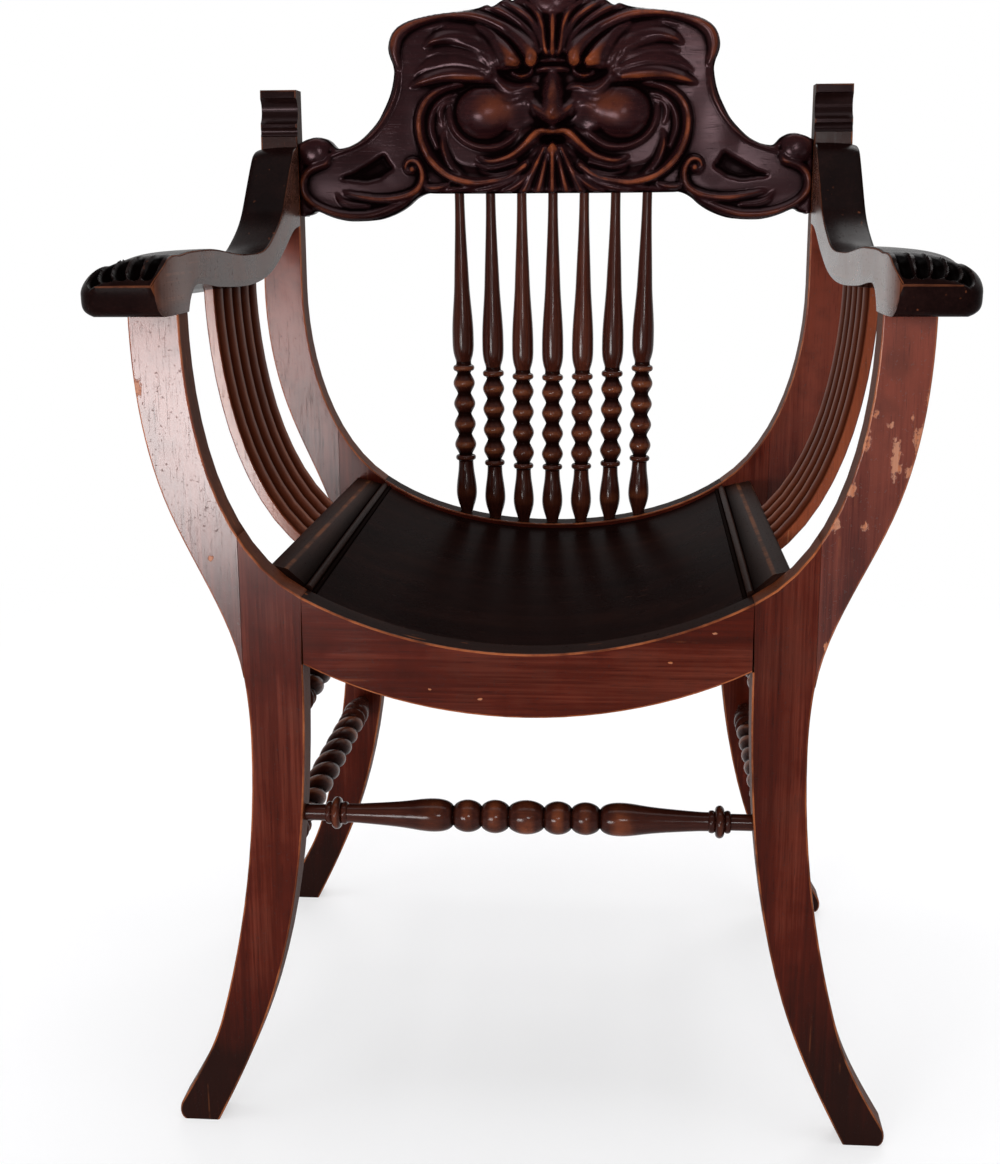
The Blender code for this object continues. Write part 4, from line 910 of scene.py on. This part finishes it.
# Strands of the carving: the slope and the flank of each side, how softly it joins what lies below, and
# points of place, half width and rise.  The low ones come before the round masses.
ROUND = "round", 1, "round", 1, 0
BLADE = "soft", 1.2, "round", 1, 0
LOCK = "soft", 1.2, "soft", 1.2, 0.4
LOW_STRANDS = [
    # Hair swept back from the temple, in five locks.
    ("soft", 1.2, "soft", 1, 0, [
        (58, 866, 7.5, 1.8), (70, 880.5, 8, 1.8), (86.4, 888.5, 7, 1.5), (103.4, 891.3, 5, 1),
        (122.2, 888.9, 1.3, 0.3),
    ]),
    ("soft", 1.6, "round", 0.9, 0.8, [
        (56, 858, 9.4, 3.8), (68, 871, 10, 4.4), (82.3, 878.2, 8.8, 4.4), (98.7, 880.4, 6.8, 4.2),
        (112.6, 877.5, 4, 3.8), (121.4, 872.6, 0.9, 1.8),
    ]),
    ("soft", 1.3, "soft", 1.2, 0.8, [
        (58, 851, 7.2, 2), (71, 861.5, 7.8, 2.2), (87.5, 867.6, 6.8, 1.9), (103, 868.4, 5, 1.5),
        (118.1, 865.3, 1.2, 0.5),
    ]),
    ("soft", 1.5, "soft", 1.2, 0.8, [
        (58, 846.6, 7.4, 2.6), (72.2, 853.6, 8.2, 3), (89.5, 857.6, 7.8, 2.9), (105, 857.2, 6.4, 2.5),
        (119.1, 853.3, 4.2, 1.9), (130.6, 847.8, 1, 0.7),
    ]),
    ("soft", 1.7, "round", 0.8, 0.8, [
        (58.2, 840.4, 6, 3.8), (74.9, 844.6, 7.4, 4.8), (91.2, 846.4, 7.6, 5.2), (106, 845.2, 6.8, 5.2),
        (121, 841.6, 5, 4.8), (134.8, 836.6, 0.9, 2.2),
    ]),
    # Shoulder band along the top edge, running into the brow, and the second brow.
    (*ROUND, [
        (146.3, 854.2, 2.4, 2), (149.4, 863.6, 4.3, 3.4), (150.2, 874.1, 6, 4.2),
        (146.3, 884.3, 6.4, 4.4), (136, 891.8, 5.5, 4.4), (120.8, 897.1, 4.3, 4.4),
        (103.6, 900.4, 3.7, 4.4), (85.7, 900.7, 4.2, 4.6), (69.5, 898.4, 4.8, 4.8),
        (53.4, 892.3, 5.8, 5.2), (38.5, 884, 7, 5.8), (27.4, 874.6, 8, 6.8), (21, 865.7, 8.2, 8.2),
        (20, 859.4, 6.8, 8.4),
    ]),
    ("soft", 2, "round", 0.9, 1.2, [
        (72, 892.3, 1.6, 1.5), (62, 886, 4.8, 3.6), (53, 877.8, 7, 5.4), (45.6, 869.3, 8.4, 7.2),
        (39.8, 862, 8.6, 8.6), (35.6, 858, 6.8, 8.4),
    ]),
    # Whisker scroll round the cheek, with the leaves inside it.
    ("hollow", 1.9, "round", 1.05, 0, [
        (27.7, 764.2, 4.5, 4.5), (41.8, 754.6, 5.8, 5.2), (59.2, 750.5, 6.1, 5.8),
        (74.1, 749.4, 6.1, 6.2), (90.7, 752.4, 6.1, 6.4), (103.9, 759.2, 6.1, 6.4),
        (115.1, 769.6, 6, 6.4), (122.5, 783.2, 5.8, 6.2), (125.7, 798.3, 5.6, 6),
        (125, 810.9, 5.3, 5.6), (120.9, 820.8, 4.8, 5.2), (112.5, 828.9, 4.3, 4.8),
        (101.9, 834.1, 3.5, 4.2), (89.7, 837, 2.4, 3.2), (79.9, 837.2, 1, 1.2),
    ]),
    ("hollow", 1.3, "round", 1, 0, [
        (85.7, 753.9, 2.9, 4.6), (97.5, 763.6, 4.2, 4.8), (103.3, 775.1, 3.9, 4.6),
        (105.5, 785.9, 2.7, 4), (103.9, 796.1, 0.6, 1),
    ]),
    ("hollow", 1.2, "round", 1, 0, [
        (110.9, 780.3, 2.3, 3.6), (116.2, 795.1, 3.4, 4.2), (116.1, 807.7, 3.4, 4.2),
        (111, 818.6, 3.1, 4), (102.3, 825.9, 2.4, 3.4), (92.4, 829.4, 1, 1.2),
    ]),
    ("soft", 1, "round", 1, 0, [
        (105.6, 801.4, 1, 1), (107.8, 812.3, 2.6, 2.8), (104.1, 820.1, 2.6, 2.8),
        (94.8, 824.3, 0.8, 0.6),
    ]),
    # Ring below the cheek.
    (*ROUND, [
        (99.7, 823.2, 1, 0.4), (98.3, 808.3, 2.4, 2.4), (93.8, 796, 2.7, 3), (83.7, 786.1, 2.7, 3),
        (68.9, 780.5, 2.9, 3), (52, 781.3, 2.9, 3), (38.2, 789.4, 2.4, 2.4), (30.9, 799.8, 1, 0.4),
    ]),
]
STRANDS = [
    # Moustache in three locks.
    ("round", 1, "hollow", 2.6, 0, [
        (0, 793.5, 1.9, 5), (4.7, 794.7, 2.6, 6), (11.3, 795.3, 3.5, 6.6), (17.8, 791, 4.3, 7),
        (26.9, 781.6, 4.7, 7.2), (38.4, 773, 4.3, 7), (50, 768.6, 3.7, 6.4), (61.5, 767.5, 2.7, 5.2),
        (71.9, 771.4, 0.8, 1.8),
    ]),
    ("round", 1, "hollow", 1.5, 0, [
        (34.3, 766.6, 1.9, 5.4), (45.9, 762.9, 2.6, 5.4), (57.4, 760.6, 2.6, 4.8),
        (67, 762.1, 1.9, 3.8), (74.6, 766, 0.6, 1.2),
    ]),
    ("round", 1, "hollow", 1.4, 0, [
        (37.6, 759.6, 1.9, 5), (47.9, 756.5, 2.4, 5.2), (57.5, 755.2, 2.3, 4.6),
        (65.7, 756.8, 1.8, 3.4), (71.7, 759.9, 0.6, 1.2),
    ]),
    # Fold from the temple under the eye.
    ("soft", 2, "soft", 1.7, 2.5, [
        (61, 856.8, 2, 2), (55.5, 846.3, 4, 3.8), (49.5, 837.6, 4.8, 5.2), (41, 832.3, 4.8, 5.8),
        (32.2, 833, 3.9, 5.2), (24, 835.2, 2.9, 4.6), (14.6, 834.3, 1.3, 3),
    ]),
    # Nose, its wings, the two frown bars above it and the lower eyelid.
    ("soft", 1.5, "soft", 1.5, 1, [
        (0.1, 847.3, 6.2, 4.6), (0.1, 836.4, 8, 7), (0.1, 825.5, 10, 9), (0, 815, 12.4, 11),
        (0, 808.6, 12.6, 11), (0, 804, 9.2, 7),
    ]),
    ("soft", 1.2, "soft", 1.5, 2.5, [
        (27.5, 825, 2, 2.6), (22, 821, 4.6, 5), (16.6, 816.6, 6.4, 6.8), (10.7, 812.8, 6.6, 7.4),
        (4.1, 810.2, 6.2, 7.6),
    ]),
    (*ROUND, [
        (13.3, 850.4, 2.3, 3.6), (7.1, 851.3, 3.1, 4.8), (0, 851.5, 3.2, 5),
    ]),
    (*ROUND, [
        (11.7, 858.1, 1.8, 3.2), (6.1, 858.7, 2.3, 4.2), (0, 858.9, 2.4, 4.4),
    ]),
    (*ROUND, [
        (40.9, 851.7, 1.3, 2.4), (36, 846.7, 2.1, 4.2), (28.6, 845, 2.3, 4.6), (21.7, 847.7, 1.8, 3.8),
        (18.8, 851.4, 1, 2),
    ]),
    # Palmette: three blades on each side, a petal and the middle vein.
    (*BLADE, [
        (67.2, 909.5, 0.8, 1), (50.1, 904, 3.4, 3.2), (34, 894.6, 4.3, 3.6), (20.1, 881.3, 4.5, 3.8),
        (12, 866.4, 2.4, 3.2),
    ]),
    (*BLADE, [
        (47.5, 911.9, 0.8, 1.5), (33.9, 905, 3.2, 4), (21.7, 895.7, 4, 4.6), (13, 881.8, 3.9, 4.8),
        (8.4, 867.6, 1.9, 4),
    ]),
    (*BLADE, [
        (26.5, 911.6, 0.8, 2), (15.9, 902.3, 2.9, 4.6), (10.4, 889.4, 3.2, 5.4), (7.5, 874.1, 2.1, 4.8),
    ]),
    ("soft", 1.2, "soft", 1.2, 0.5, [
        (12.4, 899.2, 3.4, 4), (9.2, 881.7, 4, 5.4), (6.4, 867.6, 3.4, 5.8), (4.6, 863.6, 2.2, 4),
    ]),
    ("soft", 1.2, "soft", 1.2, 0.5, [
        (0.3, 900.2, 3.4, 4.6), (0.2, 881.6, 3.8, 6.8), (0.2, 866.9, 3.8, 7.2), (0.2, 862.6, 2.6, 4.4),
    ]),
    # Beard, fanned along the lower edge.
    (*LOCK, [
        (0, 785.1, 3.2, 5), (0, 775.8, 5, 7), (0, 763.2, 4.2, 6.2), (0, 750.4, 3.6, 5),
        (0, 738.3, 3.8, 3.6),
    ]),
    (*LOCK, [
        (3.8, 779, 2, 4), (7.2, 764.8, 3.4, 5.2), (10.6, 750.5, 3.8, 4.6), (14, 738.4, 4, 3.4),
    ]),
    (*LOCK, [
        (8, 779.6, 1.6, 3), (15, 764.9, 3.4, 4.8), (21.6, 751.5, 4.2, 4.4), (28.4, 738.5, 4, 3.2),
    ]),
    ("soft", 1.2, "round", 1, 0.4, [
        (17.5, 761.9, 1.4, 3), (28.7, 749.7, 3.6, 4.4), (39, 742.7, 3.6, 3.8), (50, 738.6, 1.4, 2),
    ]),
    (*BLADE, [
        (28.1, 754.5, 1.3, 2.8), (46.1, 746, 3.2, 4), (63.5, 741.6, 3, 3.6), (80.8, 739, 1, 1.6),
    ]),
    (*ROUND, [
        (62.5, 745.1, 1.1, 2), (77.5, 743, 1.9, 3), (90.8, 742.1, 1.9, 2.8), (100.8, 740.9, 1, 1.4),
    ]),
    (*ROUND, [
        (98, 748.2, 0.8, 1.2), (106.1, 744.1, 2.3, 3.2), (116.5, 742.9, 2.6, 3.4),
        (123.1, 745.5, 2.1, 3), (120.3, 750.3, 1, 1.2),
    ]),
    # Wing: rim bead, outer scroll, leaf and the inner scroll with its volute.
    (*ROUND, [
        (213.5, 774.1, 1.4, 1.4), (200.3, 778.9, 2.1, 2.2), (183.3, 786.1, 2.3, 2.4),
        (169.7, 797.1, 2.3, 2.4), (159.5, 810.3, 2.3, 2.4), (152, 824.4, 2.3, 2.4),
        (148.5, 837.1, 2.1, 2.2), (146.7, 849.5, 1.4, 1.2),
    ]),
    (*ROUND, [
        (215.5, 774.4, 1.6, 2.4), (218.7, 767.1, 3.5, 4.2), (226.7, 764.3, 4.2, 4.4),
        (235.8, 759.8, 4, 4.2), (241.8, 751, 4, 4), (241.6, 739.7, 4.2, 3.8), (234.8, 730.4, 4, 3.6),
        (223.8, 723.8, 4, 3.4), (210.4, 719.2, 4.3, 3.2), (195.3, 717.2, 4.5, 3.2),
        (178.4, 717.7, 4.5, 3.2), (160.6, 722.8, 4.5, 3.2), (144.5, 730.2, 4.2, 3),
        (131.2, 738.2, 2.6, 2),
    ]),
    ("soft", 1, "round", 1, 0, [
        (179.8, 726.5, 2.3, 2.2), (195, 727.6, 3.1, 2.6), (204.7, 731.2, 2.6, 2.4),
        (209.9, 737.7, 0.8, 0.8),
    ]),
    (*ROUND, [
        (138.6, 756.9, 1.4, 2), (141.5, 762, 1.9, 3.8), (138.4, 767.7, 2.4, 4.6),
        (131.1, 767.7, 3.1, 5), (126.2, 760, 3.4, 5), (125.7, 750.7, 3.7, 5), (129.5, 742.7, 4, 4.8),
        (137.6, 737.2, 4, 4.8), (151.1, 733.4, 4.2, 4.6), (167.9, 732.6, 3.9, 4.2),
        (184.7, 734.9, 3.2, 3.6), (196.4, 737.6, 1.9, 2.6), (203.4, 739.3, 0.6, 0.8),
    ]),
]
# Broad forms below the strands and hollows between them: place, half width, half height and rise.
FORMS = [
    (11.5, 826.4, 53.1, 51.5, 3), (68.5, 855.1, 53.1, 27.4, 3.6), (27.7, 866.9, 35.4, 24.2, 4.2),
    (0.2, 816.9, 20.9, 24.2, 3.6), (0.1, 788.6, 53.1, 19.3, 3), (0, 756.9, 48.3, 27.4, 2.6),
    (0.4, 883.5, 25.8, 35.4, 2.6), (193, 756.7, 53.1, 27.4, 0.8), (151.9, 796.3, 27.4, 53.1, 1.2),
]
HOLLOWS = [
    (30.7, 850.9, 12.9, 5.5, 4.5), (0.1, 787.7, 15.5, 6.4, 6), (4.9, 800, 19.3, 4.2, 3),
    (30, 806, 13, 12, 2.6),
]
# Round masses: the cheek's foot, cheek, lobe, volute and finial, with how softly each joins the rest.
MASSES = [
    (44, 818, 33, 23, 6.6, 4), (66, 812.5, 27, 25.5, 12, 5), (230.9, 777.8, 14.8, 15.1, 5.5, 0.6),
    (134.9, 760.7, 4, 4, 4.8, 0.2), (0.3, 917.5, 22.9, 19, 6, 0.4),
]
MASK_GROUND = [
    (-1, 862), (11.5, 862.1), (18, 851.4), (40.8, 851.6), (53.9, 848.7), (62.1, 841), (81.8, 839.7),
    (99.9, 836.7), (116.5, 827.5), (125.9, 811.9), (127, 796.1), (119, 773.7), (100.9, 756),
    (74.4, 748.6), (44.5, 754), (27.9, 765.1), (18, 777.7), (8.1, 782.4), (-1, 782.9),
]
WING_PANEL = [
    (205.6, 752.6), (193, 757), (177.6, 765.9), (162.4, 774.7), (158.8, 768.3), (153.6, 761.2),
    (166.2, 752.6), (179.7, 749.2), (193.2, 750.9),
]
MASK_DEEP, PANEL_DEEP, EDGE_DROP = 4.2, 3, 2.4
CHEEK, CHEEK_RUB = (66, 812.5, 29, 27.5), (55, 816, 33, 24)  # the round cheek, and where it is rubbed
SLOPES = {
    "round": lambda u: (1 - u ** 2) ** 0.62, "soft": lambda u: 0.5 + 0.5 * np.cos(math.pi * u),
    "hollow": lambda u: (1 - u) ** 1.7,
}
across, upward = np.meshgrid(np.arange(CREST_WIDE + 1.0), CREST_LOW + np.arange(CREST_TALL + 1.0))


def flowing(points, step=0.5):
    """Samples at even steps along a smooth curve through points."""
    knots = np.array(points, float)
    knots = np.vstack([2 * knots[0] - knots[1], knots, 2 * knots[-1] - knots[-2]])
    t = np.linspace(0, 1, 24, endpoint=False)[:, None]
    curve = np.vstack([
        b + 0.5 * t * (c - a + t * (2 * a - 5 * b + 4 * c - d + t * (3 * b - a - 3 * c + d)))
        for a, b, c, d in zip(knots, knots[1:], knots[2:], knots[3:])
    ] + [knots[-2:-1]])
    run = np.concatenate([[0], np.cumsum(np.hypot(*np.diff(curve[:, :2], axis=0).T))])
    even = np.linspace(0, run[-1], max(int(run[-1] / step), 2))
    return np.stack([np.interp(even, run, column) for column in curve.T], 1)


def nearest(line, reach):
    """For each point of the relief, how far a line is and which sample of it is nearest."""
    far, which = np.full(across.shape, 1e3), np.zeros(across.shape, int)
    for first in range(0, len(line), 48):
        part = line[first:first + 48]
        low = np.floor(part[:, :2].min(0) - reach - (0, CREST_LOW)).astype(int).clip(0)
        high = np.ceil(part[:, :2].max(0) + reach - (0, CREST_LOW)).astype(int).clip(0) + 1
        window = np.s_[low[1]:high[1], low[0]:high[0]]
        apart = np.hypot(across[window][..., None] - part[:, 0], upward[window][..., None] - part[:, 1])
        if apart.size:
            closer = apart.min(2) < far[window]
            which[window] = np.where(closer, first + apart.argmin(2), which[window])
            far[window] = np.where(closer, apart.min(2), far[window])
    return far, which


def inside(outline, x=across, z=upward):
    """Which places, or which points of the relief, lie inside an outline."""
    held = np.zeros(x.shape, bool)
    for (x0, z0), (x1, z1) in zip(outline, outline[1:] + outline[:1]):
        if z0 != z1:
            held ^= ((z0 > z) != (z1 > z)) & (x < (x1 - x0) * (z - z0) / (z1 - z0) + x0)
    return held


def blurred(field, *reaches):
    """A field averaged over a square, once for each reach, and mirrored at the middle."""
    for reach in reaches:
        span = 2 * reach + 1
        for axis in (0, 1):
            wide = np.pad(field, [(reach, reach) if a == axis else (0, 0) for a in (0, 1)], mode="edge")
            if axis == 1:
                wide[:, :reach] = field[:, reach:0:-1]
            total = np.cumsum(np.insert(wide, 0, 0, axis=axis), axis=axis)
            ends, starts = np.arange(span, total.shape[axis]), np.arange(total.shape[axis] - span)
            field = (np.take(total, ends, axis=axis) - np.take(total, starts, axis=axis)) / span
    return field


def joined(low, high, blend):
    """The higher of two surfaces, with a fillet between them."""
    blend = np.maximum(blend, 1e-6)
    share = np.clip(0.5 + 0.5 * (high - low) / blend, 0, 1)
    return low + share * (high - low) + blend * share * (1 - share)


def bulge(x, z, half_width, half_height):
    """A mound that falls from 1 at a place to 0 round it."""
    return np.clip(1 - ((across - x) / half_width) ** 2 - ((upward - z) / half_height) ** 2, 0, 1)


ground = sum(rise * bulge(x, z, w, h) ** 1.5 for x, z, w, h, rise in FORMS)
ground -= MASK_DEEP * blurred(inside(MASK_GROUND) * 1.0, 2, 2)
ground -= sum(deep * bulge(x, z, w, h) ** 1.5 for x, z, w, h, deep in HOLLOWS)


def carved(relief, left_form, left_flank, right_form, right_flank, blend, points):
    """The relief with one strand on it, and a chisel cut along both of its feet."""
    line = flowing(points)
    far, which = nearest(line, 1.4 * max(left_flank, right_flank) * line[:, 2].max())
    heading = np.gradient(line[:, :2], axis=0)[which]
    left = heading[..., 0] * (upward - line[which, 1]) - heading[..., 1] * (across - line[which, 0]) >= 0
    half = line[which, 2] * np.where(left, left_flank, right_flank)
    u = np.clip(far / half, 0, 1)
    rise = line[which, 3] * np.where(left, SLOPES[left_form](u), SLOPES[right_form](u))
    chisel = 0.9 * np.clip(1 - (far / half - 1) / 0.28, 0, 1) * np.clip(line[which, 3] / 4, 0, 1)
    cut = relief - np.where(far < 1.3 * half, chisel, 0)
    return np.where(far < half, joined(relief, ground + rise, blend), cut)


relief = ground.copy()
for strand in LOW_STRANDS:
    relief = carved(relief, *strand)
for x, z, w, h, rise, softness in MASSES:
    mound = bulge(x, z, w, h)
    dome = ground + rise * (np.sqrt(mound) if softness < 2 else mound ** 0.75)
    relief = np.where(mound > 0, joined(relief, dome, softness * np.clip(4 * mound, 0, 1)), relief)
for strand in STRANDS:
    relief = carved(relief, *strand)
relief -= PANEL_DEEP * blurred(inside(WING_PANEL) * 1.0, 1)
relief = 0.4 * blurred(relief, 1) + 0.6 * blurred(relief, 1, 1)
edge_far, _ = nearest(flowing(crest_half, 0.8), 4)
relief -= EDGE_DROP * np.clip(1 - edge_far / 3, 0, 1) ** 2
swell, ridge = relief - blurred(relief, 6, 5), relief - blurred(relief, 2, 1)
proud = np.clip((swell - 0.4) / 3.4, 0, 0.6)
proud += 0.25 * np.clip((ridge - 0.30) / 0.5, 0, 1) * np.clip((relief - 1) / 4, 0, 1)
proud *= 1 - 0.9 * np.clip(3 * bulge(*CHEEK), 0, 1)
proud += 0.52 * blurred(bulge(*CHEEK_RUB), 4, 4)
# Hollows and the wing's sunk panel are darkened: grime and painted shade.
sunk = np.clip((blurred(relief, 3, 3) - relief - 0.05) / 1.1, 0, 1)
sunk += np.clip((blurred(relief, 8, 6) - relief - 0.4) / 3, 0, 0.8)
sunk += 0.8 * blurred(inside(WING_PANEL) * 1.0, 1)


def on_crest(field, u, v):
    """A field of the right half's relief, mirrored to the left."""
    row, column = np.round(v * CREST_TALL).astype(int), np.round((2 * u - 1) * CREST_WIDE).astype(int)
    return field[row, abs(column)]


def crest_place(u, v):
    x, z = (2 * u - 1) * CREST_WIDE, CREST_LOW + v * CREST_TALL
    return np.round(x) / 1000, CREST_FACE - on_crest(relief, u, v) / 1000, np.round(z) / 1000


crest = sheet(
    "crest_rail_carved", 2 * CREST_WIDE, CREST_TALL, crest_place,
    wear=lambda u, v: on_crest(proud, u, v), soil=lambda u, v: on_crest(sunk, u, v),
)
whole = flowing(crest_half, 0.5)[:, :2] / 1000
bpy.ops.object.mode_set(mode="EDIT")
bpy.ops.mesh.select_mode(type="FACE")
solid = bmesh.from_edit_mesh(crest.data)
middle_x, middle_z = np.array([face.calc_center_median() for face in solid.faces])[:, ::2].T * 1000
for face, kept in zip(solid.faces, inside(crest_half, abs(middle_x), middle_z)):
    face.select_set(not kept)
bmesh.update_edit_mesh(crest.data)
bpy.ops.mesh.delete(type="FACE")
solid = bmesh.from_edit_mesh(crest.data)
for corner in [corner for corner in solid.verts if corner.is_boundary]:
    gaps = np.hypot(whole[:, 0] - abs(corner.co.x), whole[:, 1] - corner.co.z)
    x, z = whole[gaps.argmin()]
    corner.co.x, corner.co.z = math.copysign(x, corner.co.x), z
bmesh.update_edit_mesh(crest.data)
bpy.ops.mesh.select_mode(type="EDGE")
bpy.ops.mesh.select_all(action="DESELECT")
bpy.ops.mesh.select_non_manifold()
bpy.ops.mesh.extrude_edges_move(TRANSFORM_OT_translate={"value": (0, 0.03, 0)})
solid = bmesh.from_edit_mesh(crest.data)
layers = [solid.verts.layers.float[label] for label in ("wear", "soil")]
for corner in solid.verts:
    if corner.select:
        corner.co.y = CREST_BACK
        for layer in layers:
            corner[layer] = 0.0
bmesh.update_edit_mesh(crest.data)
bpy.ops.mesh.edge_face_add()
on_all(bpy.ops.mesh.remove_doubles, threshold=1e-5)
on_all(bpy.ops.mesh.normals_make_consistent, inside=False)
bpy.ops.object.mode_set(mode="OBJECT")
bpy.ops.object.shade_smooth_by_angle(angle=math.radians(50))
crest_wood = varnished(
    "crest_mahogany", "X", gloss=0.21, shine=0.12, grime_and_shade=0.97, worn=0.7, scratched=0,
    tint=(1.0, 0.66, 0.72), deep=(0.0045, 0.0014, 0.0017), mid=(0.0138, 0.0035, 0.0040),
    pale=(0.037, 0.0095, 0.0090), rubbed=(0.24, 0.055, 0.017),
)
dress(crest, crest_wood, "dark_mahogany", "crest_rail")

# Hidden pieces.  Dowels in the joints and the seat's ledger strips are plain wood straight from the
# saw and the dowel plate, with no varnish.
raw_wood = varnished(
    "raw_mahogany", "X", gloss=0.62, shine=0.3, deep=(0.070, 0.026, 0.015), mid=(0.125, 0.052, 0.030),
    pale=(0.19, 0.085, 0.050), rubbed=(0.28, 0.13, 0.07),
)
for node_name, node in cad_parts.items():
    if "dowel" in node_name or "ledger" in node_name:
        node.data.materials.clear()
        node.data.materials.append(raw_wood)

# Studio.  A white cloth lies under the chair and sweeps up to a white backdrop far behind it.  A low
# window stands behind the camera on the left, with soft lights before, above and behind the chair.
CLOTH, FLOOR_GLOW = (0.92, 0.915, 0.935), 0.56  # FLOOR_GLOW: share of plain white near the chair
SWEEP_FRONT, SWEEP_BACK, SWEEP_CURVE, SWEEP_TOP, SWEEP_HALF = -7.0, 3.4, 1.6, 5.0, 7.0
bend_y = SWEEP_BACK - SWEEP_CURVE
turns = np.linspace(0, math.pi / 2, 17)
sweep = np.array([
    (SWEEP_FRONT, 0), (-2, 0), (0, 0),
    *((bend_y + SWEEP_CURVE * math.sin(t), SWEEP_CURVE * (1 - math.cos(t))) for t in turns),
    (SWEEP_BACK, SWEEP_TOP),
])


def sweep_place(u, v):
    y, z = sweep[np.round(v * (len(sweep) - 1)).astype(int)].T
    return SWEEP_HALF * (2 * u - 1), y, z


floor = sheet("floor", 2, len(sweep) - 1, sweep_place)
bpy.ops.object.shade_smooth()
cloth = bpy.data.materials.new("white_cloth")
make = Shade.of(cloth)
place = make.node("TexCoord", output="Object")
folds = make.node("TexNoise", sockets={"Vector": place, "Scale": 3.0, "Detail": 4.0})
shade = (folds.rise(0.35, 0.7) * 0.5).over(CLOTH, tuple(0.965 * part for part in CLOTH))
bump = make.node("Bump", sockets={"Strength": 0.10, "Distance": 0.004, "Height": folds})
matt = make.node("BsdfDiffuse", sockets={"Color": shade, "Normal": bump})
white = make.node("Emission", sockets={"Color": (1, 1, 1, 1), "Strength": 1.0})
seen = make.node("LightPath", output="Is Camera Ray")
for ray in ("Is Glossy Ray", "Is Transmission Ray"):
    seen = make.maths("MAXIMUM", seen, make.node("LightPath", output=ray))
away = make.node("SeparateXYZ", sockets={0: place}, output="Y").rise(0.7, 1.6)
far = FLOOR_GLOW + away * (1 - FLOOR_GLOW)
surface = make.node("MixShader", sockets={0: seen * far, 1: matt, 2: white})
make.node("OutputMaterial", sockets={"Surface": surface})
floor.data.materials.append(cloth)

world = bpy.data.worlds.new("studio")
bpy.context.scene.world = world
make = Shade.of(world)
glow = make.node("Background", sockets={"Color": (1, 1, 1, 1), "Strength": 0.46})
make.node("OutputWorld", sockets={"Surface": glow})


def soft_light(name, place, aim, width, height, power):
    """A rectangle of light that faces its aim."""
    lamp = bpy.data.lights.new(name, "AREA")
    lamp.shape, lamp.size, lamp.size_y, lamp.energy = "RECTANGLE", width, height, power
    light = bpy.data.objects.new(name, lamp)
    bpy.context.scene.collection.objects.link(light)
    light.location = place
    light.rotation_euler = (Vector(aim) - Vector(place)).to_track_quat("-Z", "Y").to_euler()


soft_light("window", (-0.98, -2.4, 0.26), (-0.24, 0.0, 0.45), 0.84, 0.54, 50)
soft_light("front", (0.24, -2.3, 0.95), (0.05, 0.2, 0.8), 0.36, 0.3, 12)
soft_light("above", (0, -0.2, 2.8), (0, 0, 0), 2.6, 1.6, 34)
soft_light("behind", (0.4, 2.3, 2.5), (0, 0.4, 0.3), 2.2, 1.2, 46)

# The camera stands where the photographer stood, a little to the right and looking down.
YAW, PITCH, ROLL, LENS = -0.0799, 0.2342, -0.0057, 56.085
CAMERA_X, CAMERA_Y, CAMERA_Z = 0.0707, -1.3158, 0.7217
lens = bpy.data.cameras.new("camera")
lens.sensor_fit, lens.sensor_width, lens.lens = "HORIZONTAL", 36, LENS
camera = bpy.data.objects.new("camera", lens)
bpy.context.scene.collection.objects.link(camera)
ahead = Vector((math.sin(YAW) * math.cos(PITCH), math.cos(YAW) * math.cos(PITCH), -math.sin(PITCH)))
level_right = Vector((math.cos(YAW), -math.sin(YAW), 0))
level_up = level_right.cross(ahead)
right = math.cos(ROLL) * level_right + math.sin(ROLL) * level_up
up = -math.sin(ROLL) * level_right + math.cos(ROLL) * level_up
camera.matrix_world = Matrix((
    (right.x, up.x, -ahead.x, CAMERA_X), (right.y, up.y, -ahead.y, CAMERA_Y),
    (right.z, up.z, -ahead.z, CAMERA_Z), (0, 0, 0, 1),
))
bpy.context.scene.camera = camera
bpy.context.scene.view_settings.view_transform = "Standard"
